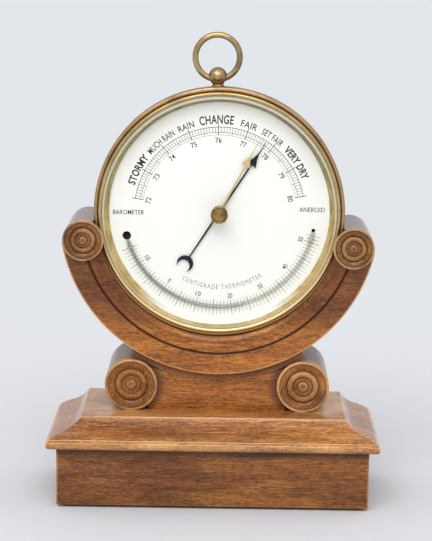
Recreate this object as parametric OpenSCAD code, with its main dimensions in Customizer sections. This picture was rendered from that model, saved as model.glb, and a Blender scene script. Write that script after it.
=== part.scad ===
// Desk barometer: a round brass aneroid with a thermometer on its dial, held in a wooden
// cradle with turned scrolls on a moulded plinth. Millimetres, +Z up, front towards -Y.
// The origin is on the floor under the middle of the plinth. Everything is flush at the back.

/* [Plinth] */
// Width of the plinth block
plinth_w = 161; // [150:1:175]
// Depth of the plinth block
plinth_d = 71.7; // [70:0.1:85]
// Height of the plinth block
plinth_h = 30.1; // [24:0.1:40]
// How far the top's nosing stands out past the block, in front and at both sides
nosing_overhang = 5.3; // [3:0.1:8]
// Thickness of the nosing round the plinth's top
nosing_t = 5; // [3:0.1:7]
// Width of the ogee moulding, measured in from the nosing
ogee_w = 17.3; // [14:0.1:19]
// Rise of the ogee moulding above the nosing
ogee_h = 9.1; // [6:0.1:12]
// Thickness of the felt under the block
felt_t = 1.5; // [1:0.1:3]
// How far the felt's edge lies inside the block's
felt_inset = 3.5; // [2:0.1:6]

/* [Cradle] */
// Width of the cradle's front, from the drum's outside to the cradle's
cradle_w = 17.6; // [16.5:0.1:20]
// Depth of the cradle, front to back
cradle_depth = 47; // [44:0.1:52]
// Width of the flat band along the cradle's outer edge
band_w = 10.5; // [8:0.1:12]
// Width of the groove inside that band
groove_w = 1.2; // [0.8:0.1:1.6]
// Depth of that groove
groove_depth = 1.3; // [0.8:0.1:2]
// How far the inner moulding falls towards the case
ovolo_drop = 2.5; // [1.5:0.1:3]
// Thickness of the lip that keeps the case from coming out forwards
lip_t = 1.8; // [1.2:0.1:2.2]
// How far the case's centre lies above the cradle's
case_rise = 2.1; // [0.5:0.1:2.5]

/* [Scrolls and pedestal] */
// How far the pedestal and all above it stand to the right of the plinth's middle
stand_shift = 1.6; // [0:0.1:2]
// Radius of the two lower rolls
lower_roll_r = 13.8; // [12:0.1:14]
// Distance of each lower roll's axis from the middle
lower_roll_x = 45; // [43:0.1:48]
// Length of the lower rolls
lower_roll_len = 46.9; // [45:0.1:50]
// Flat planed under each lower roll, where it is glued down
roll_flat = 0.4; // [0.2:0.1:1]
// Radius of the two upper rolls
upper_roll_r = 10.7; // [9.5:0.1:11]
// Length of the upper rolls
upper_roll_len = 49.5; // [49:0.1:54]
// Distance of each upper roll's axis inside the cradle's outer edge
upper_roll_inset = 11.2; // [10.5:0.1:11.5]
// Angle of the left upper roll below the cradle's centre
left_roll_drop = 10; // [6:0.5:14]
// Angle of the right upper roll below the cradle's centre
right_roll_drop = 12; // [6:0.5:14]
// Depth of the turned pattern on the front of each roll
roll_face_h = 2.4; // [1.5:0.1:2.5]
// Height of the pedestal in the middle, from plinth to cradle
pedestal_h = 19.9; // [18:0.1:22]
// Width of the pedestal's foot between the lower rolls
pedestal_foot_w = 72; // [68:0.5:74]
// Width of the pedestal from horn tip to horn tip
pedestal_w = 88; // [80:0.5:92]
// How far the pedestal's face lies behind the lower rolls'
pedestal_setback = 2.5; // [1:0.1:5]
// Radius of the dowels that join the wooden pieces
dowel_r = 3; // [2:0.1:3.5]
// Length of those dowels
dowel_len = 18; // [14:0.5:20]
// Gap for glue between two curved wooden faces
glue_gap = 0.1; // [0.05:0.01:0.2]

/* [Brass case] */
// Outer radius of the drum's collar, which holds the dial
drum_r = 64.9; // [60:0.1:70]
// How much narrower in radius the drum's body is behind that collar
body_inset = 3.4; // [2.5:0.1:4]
// Wall of the drum
drum_wall = 1; // [0.8:0.05:1.2]
// Radius of the bead rolled on the drum's front edge
rim_bead_r = 1.1; // [1.05:0.05:1.2]
// Radius of the bead on the bezel
bezel_bead_r = 0.9; // [0.85:0.05:1.1]
// Wall of the bezel
bezel_wall = 1.6; // [1.4:0.05:1.8]
// Height of the bezel's bead centre above the dial's face
bezel_h = 5.6; // [5.4:0.05:6]
// Distance of the dial's face behind the cradle's front
dial_setback = 8.5; // [8:0.1:9]
// Distance of the case's back inside the cradle's back
back_recess = 1.5; // [1:0.1:3]
// Thickness of the case's back
back_t = 1.2; // [0.8:0.1:1.5]
// Width of the flange turned up round the back
back_flange_h = 3.8; // [2:0.1:5]
// Gap between brass pieces that slide into each other
slip = 0.2; // [0.1:0.05:0.3]
// Angle by which the case sits turned in its cradle, anticlockwise from the front
case_turn = 1.5; // [0:0.1:3]

/* [Glass and dial] */
// Thickness of the glass
glass_t = 2.4; // [2:0.1:2.6]
// Width of the bevel round the glass
glass_bevel = 2.4; // [1:0.1:3]
// Height of the bevel's outer edge above the back of the glass
glass_edge_t = 1.1; // [0.8:0.1:1.4]
// Distance between the dial's face and the glass
glass_gap = 3.5; // [3.4:0.1:4]
// Width of the tapered ring round the dial, at the dial's face, out to the bezel
dial_ring_w = 3.8; // [2.6:0.1:4.6]
// Run of the taper on that ring
ring_taper = 1.4; // [0.8:0.1:1.8]
// Thickness of the enamelled dial
dial_t = 0.8; // [0.5:0.1:1]
// Thickness of the plate that the dial is fixed to
dial_plate_t = 1.5; // [1.2:0.1:2]
// Thickness of the seat ring inside the drum
seat_t = 2; // [1.5:0.1:2.5]
// Width of that seat ring
seat_w = 9; // [7:0.1:12]
// Radius of the small screws in the brasswork
screw_r = 1.2; // [1:0.05:1.4]
// Distance of the thermometer's curve inside the edge of the dial that shows
tube_inset = 7.4; // [6.5:0.1:8]
// Radius of the thermometer's glass
tube_r = 1.3; // [1.1:0.05:1.4]
// Radius of the thermometer's inner bore
tube_bore_r = 0.5; // [0.4:0.05:0.6]
// Gap between the thermometer and the dial's face
tube_lift = 0.1; // [0.05:0.05:0.2]
// Radius of the hole in the dial for the bulb
bulb_hole_r = 2.25; // [2:0.05:2.5]
// Temperature shown, degrees Celsius
temperature = 24; // [10:1:35]

/* [Hands] */
// Air pressure shown, in centimetres of mercury
pressure = 77.72; // [74:0.01:79]
// Air pressure that the brass set hand was last put to
set_pressure = 77.48; // [74:0.01:79]
// Distance of the blued hand's tip inside the edge of the dial that shows
hand_tip_inset = 13.9; // [13:0.1:16]
// Distance of the middle of the crescent from the centre
crescent_dist = 32.4; // [28:0.1:34]
// Outer radius of the crescent
crescent_r = 4.3; // [3.5:0.1:4.5]
// How much shorter than the blued hand the set hand is
set_hand_short = 1.9; // [0:0.1:5]
// Thickness of the hands
hand_t = 0.35; // [0.25:0.05:0.5]
// Radius of the knob on the glass
knob_r = 4.4; // [3.5:0.1:5]
// Height of that knob
knob_h = 6; // [4:0.1:7]
// Radius of the knob's stem
knob_stem_r = 1.4; // [1.2:0.05:1.6]
// Radial play of every shaft in its bearing
play = 0.05; // [0.02:0.01:0.1]

/* [Pendant] */
// Radius of the pendant's ball
ball_r = 4.75; // [4.4:0.05:5.5]
// Height of the ball's centre above the drum's collar
ball_rise = 4.3; // [4:0.1:6]
// Radius of the pendant's neck
neck_r = 2.5; // [2:0.1:3]
// Radius of the ring's wire
ring_wire_r = 1.55; // [1.3:0.05:1.6]
// Radius of the ring's centre line
ring_r = 11.5; // [11:0.1:14]
// Play round the ring's wire in the ball's hole
ring_play = 0.75; // [0.7:0.05:0.9]

/* [Movement] */
// Radius of the movement's plate
movement_r = 50; // [48:0.5:53]
// Thickness of the movement's plate
movement_t = 2; // [1.5:0.1:2.5]
// Length of the spacers between case and movement
spacer_len = 2; // [1.5:0.1:3]
// Radius of the sealed capsule
capsule_r = 27; // [24:0.5:28]
// Thickness of the capsule
capsule_t = 7.3; // [6:0.1:8]
// Number of corrugations in the capsule's skin
corrugations = 5; // [4:1:7]
// Width of the leaf spring
spring_w = 18; // [14:0.5:22]
// Thickness of the leaf spring
spring_t = 1; // [0.8:0.05:1.2]
// Distance of the rocking shaft below the hand's arbor
shaft_drop = 30; // [29:0.5:33]
// Radius of the hand's arbor
arbor_r = 0.6; // [0.5:0.05:0.7]
// Radius of the drum that the chain winds on
chain_drum_r = 1; // [0.9:0.05:1.2]
// Length of the rocking shaft's crank, which the link pulls
crank_len = 3; // [2.5:0.1:4]
// Length of the rocking shaft's arm, which pulls the chain
arm_len = 8; // [7:0.1:9]

/* [Hidden] */
$fn = 96;

// Reach of a cut past the face that it opens
eps = 0.5;
// Size of a cut that takes away everything on one side
far = 300;

// Drum and cradle: radii that fit over each other
cradle_r = drum_r + cradle_w;
upper_roll_dist = cradle_r - upper_roll_inset;
ball_dist = drum_r + ball_rise;

// Plinth: levels from the floor up, and the planes that the pieces share
block_z = felt_t;
nosing_z = block_z + plinth_h;
nosing_top = nosing_z + nosing_t;
plate_z = nosing_top + ogee_h;
top_w = plinth_w + 2 * nosing_overhang;
top_d = plinth_d + nosing_overhang;
back_y = top_d / 2;
block_front = back_y - plinth_d;

// Cradle and case: the case's own frame has x to the right, y up, z towards the front,
// and its origin in the middle of the dial's face
cradle_z = plate_z + pedestal_h + cradle_r;
cradle_front = back_y - cradle_depth;
case_z = cradle_z + case_rise;
dial_y = cradle_front + dial_setback;
wood_back = dial_y - back_y;
lower_roll_z = plate_z + lower_roll_r - roll_flat;

// Depths in the case's frame
lip_back = dial_setback - ovolo_drop - lip_t;
rim_r = drum_r - drum_wall;
rim_z = lip_back - slip - rim_bead_r;
bore_r = rim_r + rim_bead_r + slip;
case_back_z = wood_back + back_recess;
inner_r = drum_r - drum_wall - slip / 2;
body_r = drum_r - body_inset;
body_in = body_r - drum_wall - slip / 2;
bezel_r = rim_r - rim_bead_r - slip;
bezel_in = bezel_r - bezel_wall;
glass_r = bezel_in - slip;
lip_r = bezel_r + slip;
dial_show_r = bezel_in - dial_ring_w;
tube_arc_r = dial_show_r - tube_inset;
hand_len = dial_show_r - hand_tip_inset;
set_hand_len = hand_len - set_hand_short;
plate_back = -dial_t - dial_plate_t;
seat_z = plate_back - seat_t;
step_z = seat_z - drum_wall;
hand_z = 1.1;
set_hand_z = hand_z + hand_t + 1.15;
movement_z = case_back_z + back_t + spacer_len;
movement_face = movement_z + movement_t;

// Angles on the dial, measured anticlockwise from the right as seen from the front
function pressure_angle(p) = 90 - 20 * (p - 76);
function temperature_angle(t) = 275.6 + 2.2 * (t - 20);
hand_angle = pressure_angle(pressure);
set_angle = pressure_angle(set_pressure);
tube_start = 193.7;
tube_end = 348;

// Points of a circular arc, and of a shallow bow of height s over the line from p to q
function arc(c, r, a, b, n) =
    [for (i = [0:n]) c + r * [cos(a + (b - a) * i / n), sin(a + (b - a) * i / n)]];
function bow(p, q, s, n) = [
    for (i = [0:n]) let (t = i / n, d = (q - p) / norm(q - p))
        p + (q - p) * t + 4 * s * t * (1 - t) * [-d.y, d.x]
];

module in_case() {
    translate([stand_shift, dial_y, case_z]) rotate([90, 0, 0]) rotate([0, 0, case_turn]) children();
}

module in_cradle() {
    translate([stand_shift, dial_y, cradle_z]) rotate([90, 0, 0]) children();
}

// A rod between two depths of the case's frame
module rod(r, low, high, x = 0, y = 0) {
    translate([x, y, low]) cylinder(r = r, h = high - low);
}

// A bar along the case's x axis
module cross_rod(r, half, y, z) {
    translate([-half, y, z]) rotate([0, 90, 0]) cylinder(r = r, h = 2 * half);
}

// A block between two corners
module block(a, b) {
    translate(a) cube(b - a);
}

// A cheese-head screw: its head lies below the origin, its shank runs up
module screw(head_r, head_h, r, len) {
    slot_w = 0.3 * head_r;
    difference() {
        union() {
            translate([0, 0, -head_h]) cylinder(r = head_r, h = head_h, $fn = 48);
            translate([0, 0, -head_h / 2]) cylinder(r = r, h = len + head_h / 2, $fn = 48);
        }
        translate([-2 * head_r, -slot_w / 2, -head_h - eps]) cube([4 * head_r, slot_w, eps + 0.4 * head_h]);
    }
}

// Plinth

plinth_screw_r = 2.2;
plinth_screw_head = 4.2;
plinth_screw_head_h = 2.5;
plinth_screw_hole = 5;
plinth_screw_inset = 16;
plinth_screw_grip = 14;
plinth_screw_bite = 1.5;
pedestal_screw_grip = 8;
plinth_screw_x = plinth_w / 2 - plinth_screw_inset;
plinth_screw_y = [block_front + plinth_screw_inset, back_y - plinth_screw_inset];
plinth_screw_seat = nosing_z - plinth_screw_grip;
pedestal_screw_x = 14;
pedestal_screw_y = 8;
pedestal_screw_seat = nosing_z - pedestal_screw_grip;

module at_plinth_screws() {
    for (x = [-1, 1], y = plinth_screw_y) translate([x * plinth_screw_x, y, 0]) children();
}

module at_pedestal_screws() {
    for (x = [-1, 1]) translate([stand_shift + x * pedestal_screw_x, pedestal_screw_y, 0]) children();
}

module base_felt() color([0.13, 0.15, 0.12])
    block([-plinth_w / 2 + felt_inset, block_front + felt_inset, 0],
          [plinth_w / 2 - felt_inset, back_y - felt_inset, felt_t]);

// The block has lightly eased upright edges in front and deep counterbores from below
module plinth_block() color([0.52, 0.33, 0.2]) {
    ease = 1;
    hw = plinth_w / 2;
    difference() {
        translate([0, 0, block_z]) linear_extrude(plinth_h) polygon([
            [-hw, back_y], [-hw, block_front + ease], [-hw + ease, block_front],
            [hw - ease, block_front], [hw, block_front + ease], [hw, back_y]
        ]);
        at_plinth_screws() {
            translate([0, 0, block_z - eps])
                cylinder(r = plinth_screw_hole, h = plinth_screw_seat - block_z + eps);
            cylinder(r = plinth_screw_r + slip, h = far);
        }
        at_pedestal_screws() {
            translate([0, 0, block_z - eps])
                cylinder(r = plinth_screw_hole, h = pedestal_screw_seat - block_z + eps);
            cylinder(r = plinth_screw_r + slip, h = far);
        }
    }
}

// Section of the top's edge: a round nosing, then an ogee up to a crisp arris.
// x is measured in from the nosing, y up from the floor.
function edge_section() = concat(
    arc([nosing_t / 2, nosing_z + nosing_t / 2], nosing_t / 2, 270, 120, 8),
    bow([0.07 * ogee_w, nosing_top], [0.52 * ogee_w, nosing_top + 0.33 * ogee_h], 0.35, 5),
    bow([0.55 * ogee_w, nosing_top + 0.35 * ogee_h], [ogee_w, plate_z], -0.85, 7)
);

module plinth_top() color([0.6, 0.38, 0.22]) {
    side = edge_section();
    difference() {
        intersection() {
            translate([0, back_y, 0]) rotate([90, 0, 0]) linear_extrude(top_d) polygon(concat(
                [for (p = side) [-top_w / 2 + p.x, p.y]],
                [for (i = [len(side) - 1:-1:0]) [top_w / 2 - side[i].x, side[i].y]]
            ));
            translate([-top_w / 2, 0, 0]) rotate([90, 0, 90]) linear_extrude(top_w) polygon(concat(
                [for (p = side) [-back_y + p.x, p.y]],
                [[back_y, plate_z], [back_y, nosing_z]]
            ));
        }
        at_plinth_screws() translate([0, 0, nosing_z - eps])
            cylinder(r = plinth_screw_r + play, h = eps + nosing_t + plinth_screw_bite + eps);
        at_pedestal_screws() cylinder(r = plinth_screw_r + slip, h = far);
        at_lower_rolls() translate([0, dowel_y, -dowel_len / 3])
            cylinder(r = dowel_r + play, h = dowel_len, $fn = 48);
    }
}

module plinth_screws() color([0.45, 0.45, 0.47])
    at_plinth_screws() translate([0, 0, plinth_screw_seat])
        screw(plinth_screw_head, plinth_screw_head_h, plinth_screw_r,
            nosing_top + plinth_screw_bite - plinth_screw_seat);

module pedestal_screws() color([0.45, 0.45, 0.47])
    at_pedestal_screws() translate([0, 0, pedestal_screw_seat])
        screw(plinth_screw_head, plinth_screw_head_h, plinth_screw_r,
            plate_z + 0.6 * pedestal_h - pedestal_screw_seat);

// Scrolls, pedestal and cradle

dowel_y = (back_y + cradle_front) / 2;
cradle_dowel_x = 26;
upper_dowel_start = 3;

// Half section of a roll of radius r and length l: rim bead, cove, ring, groove, button
function roll_section(r, l) = concat(
    [[0, 0], [r, 0]],
    arc([0.945 * r, l - 0.055 * r], 0.055 * r, 0, 180, 6),
    bow([0.87 * r, l - 0.42 * roll_face_h], [0.635 * r, l - 0.75 * roll_face_h], -0.05 * roll_face_h, 3),
    arc([0.56 * r, l - 0.075 * r - 0.25 * roll_face_h], 0.065 * r, 0, 180, 6),
    [[0.49 * r, l - 0.85 * roll_face_h], [0.3 * r, l - 0.65 * roll_face_h], [0.29 * r, l - roll_face_h],
     [0.2 * r, l - roll_face_h], [0.18 * r, l - 0.6 * roll_face_h]],
    bow([0.15 * r, l - 0.5 * roll_face_h], [0, l - 0.35 * roll_face_h], -0.02 * r, 3)
);

// A turned roll lying along the depth of the stand, its pattern to the front
module turned_roll(r, l) {
    translate([0, back_y, 0]) rotate([90, 0, 0]) rotate_extrude() polygon(roll_section(r, l));
}

// Points on the plinth's plate under the middle of each lower roll
module at_lower_rolls(sides = [-1, 1]) {
    for (s = sides) translate([stand_shift + s * lower_roll_x, 0, plate_z]) children();
}

module lower_roll(side) color([0.5, 0.3, 0.18]) {
    difference() {
        at_lower_rolls([side]) translate([0, 0, lower_roll_r - roll_flat])
            turned_roll(lower_roll_r, lower_roll_len);
        translate([-far, -far, plate_z - far]) cube([2 * far, 2 * far, far]);
        at_lower_rolls([side]) translate([0, dowel_y, -eps])
            cylinder(r = dowel_r + play, h = eps + 2 * dowel_len / 3 + play, $fn = 48);
    }
}

module lower_roll_left() lower_roll(-1);
module lower_roll_right() lower_roll(1);

module lower_roll_dowels() color([0.8, 0.65, 0.45])
    at_lower_rolls() translate([0, dowel_y, -dowel_len / 3]) cylinder(r = dowel_r, h = dowel_len, $fn = 48);

module at_cradle_dowels() {
    seat = cradle_z - sqrt(pow(cradle_r, 2) - pow(cradle_dowel_x, 2));
    for (s = [-1, 1]) translate([stand_shift + s * cradle_dowel_x, dowel_y, seat - dowel_len / 2])
        children();
}

// The pedestal is coved round both rolls and hollowed on top to take the cradle
module pedestal() color([0.46, 0.27, 0.16]) {
    front = back_y - lower_roll_len + pedestal_setback;
    difference() {
        translate([stand_shift, back_y, 0]) rotate([90, 0, 0]) linear_extrude(back_y - front) difference() {
            union() {
                translate([-pedestal_foot_w / 2, plate_z])
                    square([pedestal_foot_w, lower_roll_z - plate_z + 1]);
                translate([-pedestal_w / 2, lower_roll_z])
                    square([pedestal_w, 1.2 * lower_roll_r + pedestal_h]);
            }
            for (s = [-1, 1]) translate([s * lower_roll_x, lower_roll_z])
                circle(r = lower_roll_r + glue_gap);
            translate([0, cradle_z]) circle(r = cradle_r + glue_gap, $fn = 192);
        }
        at_cradle_dowels() cylinder(r = dowel_r + play, h = far, $fn = 48);
        at_pedestal_screws() translate([0, 0, plate_z - eps])
            cylinder(r = plinth_screw_r + play, h = eps + 0.6 * pedestal_h + 0.5);
    }
}

// Half section of the cradle: x is the radius, y the depth in the case's frame
function cradle_section() = concat(
    [[lip_r, step_z], [body_r - 2 * case_rise, step_z], [body_r - 2 * case_rise, wood_back],
     [cradle_r, wood_back], [cradle_r, dial_setback - 0.5], [cradle_r - 0.5, dial_setback],
     [cradle_r - band_w, dial_setback], [cradle_r - band_w - 0.1, dial_setback - groove_depth],
     [cradle_r - band_w - groove_w + 0.1, dial_setback - groove_depth]],
    [for (i = [0:6]) let (a = 15 * i, r0 = cradle_r - band_w - groove_w)
        [r0 - (r0 - lip_r) * sin(a), dial_setback - ovolo_drop * (1 - cos(a))]]
);

module at_upper_rolls() {
    for (a = [180 + left_roll_drop, -right_roll_drop]) rotate([0, 0, a]) translate([upper_roll_dist, 0, 0])
        children();
}

// The bore follows the case, whose centre lies a little above the cradle's. It is wider in front,
// where a groove behind the lip takes the drum's collar: the case drops in from above.
module case_bore(groove_end) {
    translate([0, case_rise, wood_back - eps])
        cylinder(r = body_r + slip, h = groove_end - wood_back + eps, $fn = 192);
    translate([0, case_rise, step_z - slip])
        cylinder(r = bore_r, h = groove_end - step_z + slip, $fn = 192);
}

module cradle() color([0.47, 0.26, 0.15]) difference() {
    in_cradle() difference() {
        rotate([0, 0, 180 + left_roll_drop])
            rotate_extrude(angle = 180 - left_roll_drop - right_roll_drop, $fn = 192)
                polygon(cradle_section());
        case_bore(lip_back);
        at_upper_rolls() translate([0, 0, wood_back - eps])
            cylinder(r = upper_roll_r + glue_gap, h = cradle_depth + 2 * eps);
    }
    at_cradle_dowels() cylinder(r = dowel_r + play, h = dowel_len + play, $fn = 48);
    in_cradle() at_upper_dowels() cylinder(r = dowel_r + play, h = dowel_len + play, $fn = 48);
    in_case() at_case_screws() cylinder(r = screw_r + play, h = case_screw_len + play, $fn = 48);
}

module cradle_dowels() color([0.8, 0.65, 0.45]) at_cradle_dowels()
    cylinder(r = dowel_r, h = dowel_len, $fn = 48);

// The upper rolls' dowels run down into the cradle's ends, square to the ring's radius
module at_upper_dowels() {
    for (a = [180 + left_roll_drop, -right_roll_drop]) {
        down = a > 90 ? -90 : 90;
        rotate([0, 0, a]) translate([upper_roll_dist, 0, wood_back + cradle_depth / 2])
            rotate([down, 0, 0]) translate([0, 0, upper_dowel_start]) children();
    }
}

module upper_roll(a) color([0.4, 0.2, 0.11]) in_cradle() difference() {
    rotate([0, 0, a]) translate([upper_roll_dist, 0, wood_back])
        rotate_extrude() polygon(roll_section(upper_roll_r, upper_roll_len));
    case_bore(dial_setback);
    at_upper_dowels() cylinder(r = dowel_r + play, h = dowel_len, $fn = 48);
}

module upper_roll_left() upper_roll(180 + left_roll_drop);
module upper_roll_right() upper_roll(-right_roll_drop);
module upper_roll_dowels() color([0.8, 0.65, 0.45])
    in_cradle() at_upper_dowels() cylinder(r = dowel_r, h = dowel_len, $fn = 48);

// Brass case

brass = [0.78, 0.6, 0.32];
case_screw_len = 9;
case_screw_z = wood_back + 0.3 * cradle_depth;
back_screw_inset = 8;
back_screw_dist = movement_r - back_screw_inset;
back_screw_angles = [30, 150, 270];
adjust_inset = 15;
adjust_y = movement_r - adjust_inset;
adjust_r = 1.5;
pendant_depth = 24.5;
pendant_z = wood_back + pendant_depth;
case_screw_head = 2.4;
case_screw_head_h = 1.3;
case_screw_sink = 0.9;
pendant_stud_r = 1.6;

// Two round-head screws go out through the drum into the cradle
module at_case_screws() {
    for (a = [235, 305]) rotate([0, 0, a]) translate([body_in - case_screw_sink, 0, case_screw_z]) rotate([0, 90, 0])
        children();
}

module case_drum() color(brass) in_case() difference() {
    rotate_extrude($fn = 192) union() {
        polygon([
            [body_r - drum_wall, case_back_z], [body_r, case_back_z], [body_r, step_z], [drum_r, step_z],
            [drum_r, rim_z], [rim_r, rim_z], [rim_r, seat_z], [body_r - drum_wall, seat_z]
        ]);
        translate([rim_r, rim_z]) circle(r = rim_bead_r, $fn = 48);
    }
    at_case_screws() cylinder(r = screw_r + play, h = case_screw_len / 2, $fn = 48);
    translate([0, body_r - 2 * drum_wall, pendant_z]) rotate([-90, 0, 0])
        cylinder(r = pendant_stud_r + play, h = 3 * drum_wall, $fn = 48);
}

module case_screws() color([0.5, 0.5, 0.52]) in_case() at_case_screws()
    screw(case_screw_head, case_screw_head_h, screw_r, case_screw_len);

module at_back_screws() {
    for (a = back_screw_angles) rotate([0, 0, a]) translate([back_screw_dist, 0, case_back_z]) children();
}

// A shallow cup, pressed into the drum from behind
module case_back() color([0.7, 0.53, 0.28]) in_case() difference() {
    translate([0, 0, case_back_z]) {
        cylinder(r = body_in, h = back_t, $fn = 192);
        difference() {
            cylinder(r = body_in, h = back_t + back_flange_h, $fn = 192);
            translate([0, 0, back_t / 2])
                cylinder(r = body_in - drum_wall, h = back_flange_h + 2, $fn = 192);
        }
    }
    at_back_screws() translate([0, 0, -eps]) cylinder(r = screw_r + play, h = 3, $fn = 48);
    rod(adjust_r + 1, case_back_z - eps, case_back_z + back_t + eps, 0, adjust_y);
}

// The bezel's sleeve slides into the drum behind the rim bead
module bezel() color([0.82, 0.66, 0.38]) in_case() rotate_extrude($fn = 192) union() {
    translate([bezel_in, plate_back]) square([bezel_wall, bezel_h - plate_back]);
    translate([bezel_r - bezel_wall / 2, plate_back])
        square([inner_r - bezel_r + bezel_wall / 2, rim_z - rim_bead_r - slip - plate_back]);
    translate([bezel_r - bezel_bead_r, bezel_h]) circle(r = bezel_bead_r, $fn = 48);
}

module glass() color([0.85, 0.9, 0.9, 0.3]) in_case() rotate_extrude($fn = 192) polygon([
    [knob_stem_r + play, glass_gap], [glass_r, glass_gap], [glass_r, glass_gap + glass_edge_t],
    [glass_r - glass_bevel, glass_gap + glass_t], [knob_stem_r + play, glass_gap + glass_t]
]);

module dial_ring() color([0.62, 0.58, 0.36]) in_case() rotate_extrude($fn = 192) polygon([
    [dial_show_r, 0], [glass_r, 0], [glass_r, glass_gap], [dial_show_r + ring_taper, glass_gap]
]);

module bulb_hole(r) {
    rotate([0, 0, tube_start]) translate([tube_arc_r, 0, plate_back - 1])
        cylinder(r = r, h = far, $fn = 48);
}

module tip_hole(r) {
    rotate([0, 0, tube_end]) translate([tube_arc_r, 0, plate_back - 1]) cylinder(r = r, h = far, $fn = 48);
}

module at_pillars() {
    for (a = [90, 210, 330]) rotate([0, 0, a]) translate([movement_r - 4, 0, 0]) children();
}

module dial() color([0.97, 0.97, 0.95]) in_case() difference() {
    rod(glass_r, -dial_t, 0, $fn = 192);
    rod(2 * arbor_r, -dial_t - eps, eps, $fn = 48);
    bulb_hole(bulb_hole_r);
    tip_hole(1);
}

module dial_plate() color(brass) in_case() difference() {
    rod(glass_r, plate_back, -dial_t, $fn = 192);
    rod(2 * arbor_r, plate_back - eps, eps, $fn = 48);
    bulb_hole(bulb_hole_r);
    tip_hole(1);
    at_dial_screws() cylinder(r = screw_r + play, h = dial_plate_t - 0.3, $fn = 48);
    at_pillars() translate([0, 0, plate_back - eps])
        cylinder(r = screw_r + play, h = eps + dial_plate_t - 0.3);
    at_bridge_posts() translate([0, 0, -eps]) cylinder(r = bridge_screw_r + play, h = eps + 1, $fn = 48);
}

module dial_seat() color(brass) in_case() difference() {
    rod(inner_r, seat_z, plate_back, $fn = 192);
    rod(inner_r - seat_w, seat_z - eps, plate_back + eps, $fn = 192);
    at_dial_screws() translate([0, 0, -seat_t - eps])
        cylinder(r = screw_r + play, h = seat_t + 2 * eps, $fn = 48);
}

// The dial's plate is screwed to its seat from behind
module at_dial_screws() {
    for (a = [60, 180, 300]) rotate([0, 0, a]) translate([glass_r - 2.6, 0, plate_back]) children();
}

module dial_screws() color([0.5, 0.5, 0.52]) in_case()
    at_dial_screws() translate([0, 0, -seat_t]) screw(2, 1.2, screw_r, seat_t + dial_plate_t - 0.5);

// Thermometer on the dial

tube_z = tube_r + tube_lift;
elbow_r = tube_r + 0.25;
stem_z = plate_back - 4;
bulb_r = 2.1;
bore_from = 2.2;
column_gap = 0.2;

module arc_tube(from, to) {
    rotate([0, 0, from]) rotate_extrude(angle = to - from, $fn = 192) translate([tube_arc_r, tube_z])
        children();
}

// The glass runs round the dial, and turns back through it to the bulb
module thermometer_tube() color([0.85, 0.9, 0.92, 0.5]) in_case() {
    difference() {
        arc_tube(tube_start, tube_end) circle(r = tube_r, $fn = 32);
        arc_tube(tube_start + bore_from, tube_end - 1) circle(r = tube_bore_r, $fn = 24);
    }
    rotate([0, 0, tube_start]) translate([tube_arc_r, 0, 0]) {
        rod(elbow_r, stem_z, tube_z, $fn = 32);
        translate([0, 0, tube_z]) sphere(r = elbow_r, $fn = 32);
        translate([0, 0, stem_z]) sphere(r = bulb_r, $fn = 32);
    }
}

module mercury_column() color([0.55, 0.57, 0.6]) in_case()
    arc_tube(tube_start + bore_from + column_gap, temperature_angle(temperature))
        circle(r = tube_bore_r - play, $fn = 24);

// Narrow straps over the tube, their feet on the dial
module tube_clips() color(brass) in_case() for (a = [tube_start + 7, tube_end - 5])
    rotate([0, 0, a]) translate([tube_arc_r, 0, 0]) rotate([90, 0, 0]) translate([0, 0, -0.4])
        linear_extrude(0.8) {
        difference() {
            translate([0, tube_z]) circle(r = tube_r + 0.35, $fn = 48);
            translate([0, tube_z]) circle(r = tube_r + play, $fn = 48);
            translate([-5, -9 + tube_z]) square([10, 9]);
        }
        for (s = [-1, 1]) translate([s * (tube_r + 0.2) - 0.15, 0]) square([0.3, tube_z + 0.1]);
    }

// Hands

hub_r = 2.6;
set_hub_r = 2.3;
hand_tip_w = 0.2;

// Outline of a hand along +x: a tapered blade, a swept arrow head of half width w at part b of
// its length l, and a needle to the tip
module hand_blade(l, tail, root_w, b, w) {
    half = [
        [tail, 0.6 * root_w], [0, root_w], [(b + 0.04) * l, 0.6 * root_w], [b * l, w],
        [(b + 0.09) * l, 0.35 * w], [(b + 0.15) * l, 0.55 * root_w], [l, hand_tip_w / 2]
    ];
    linear_extrude(hand_t) polygon(concat(half, [for (i = [len(half) - 1:-1:0]) [half[i].x, -half[i].y]]));
}

// The blued hand has a crescent behind, open outwards
module pressure_hand() color([0.1, 0.11, 0.2]) in_case() rotate([0, 0, hand_angle])
    translate([0, 0, hand_z]) difference() {
        union() {
            hand_blade(hand_len, -crescent_dist + 0.7 * crescent_r, 0.6, 0.685, 2.8);
            cylinder(r = hub_r, h = hand_t, $fn = 48);
            difference() {
                translate([-crescent_dist, 0, 0]) cylinder(r = crescent_r, h = hand_t, $fn = 48);
                translate([-crescent_dist - 0.34 * crescent_r, 0, -eps])
                    cylinder(r = 0.76 * crescent_r, h = hand_t + 2 * eps, $fn = 48);
            }
        }
        translate([0, 0, -eps]) cylinder(r = arbor_r, h = hand_t + 2 * eps, $fn = 48);
    }

// The collet grips the arbor and is riveted under the hand
module hand_collet() color(brass) in_case() difference() {
    rod(1.4, 0.4, hand_z, $fn = 48);
    rod(arbor_r, 0, 2, $fn = 48);
}

module hand_arbor() color([0.6, 0.6, 0.63])
    in_case() rod(arbor_r, bridge_z - arbor_r, hand_z + 2 * hand_t, $fn = 48);

washer_t = 0.3;
knob_z = glass_gap + glass_t + washer_t;

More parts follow.
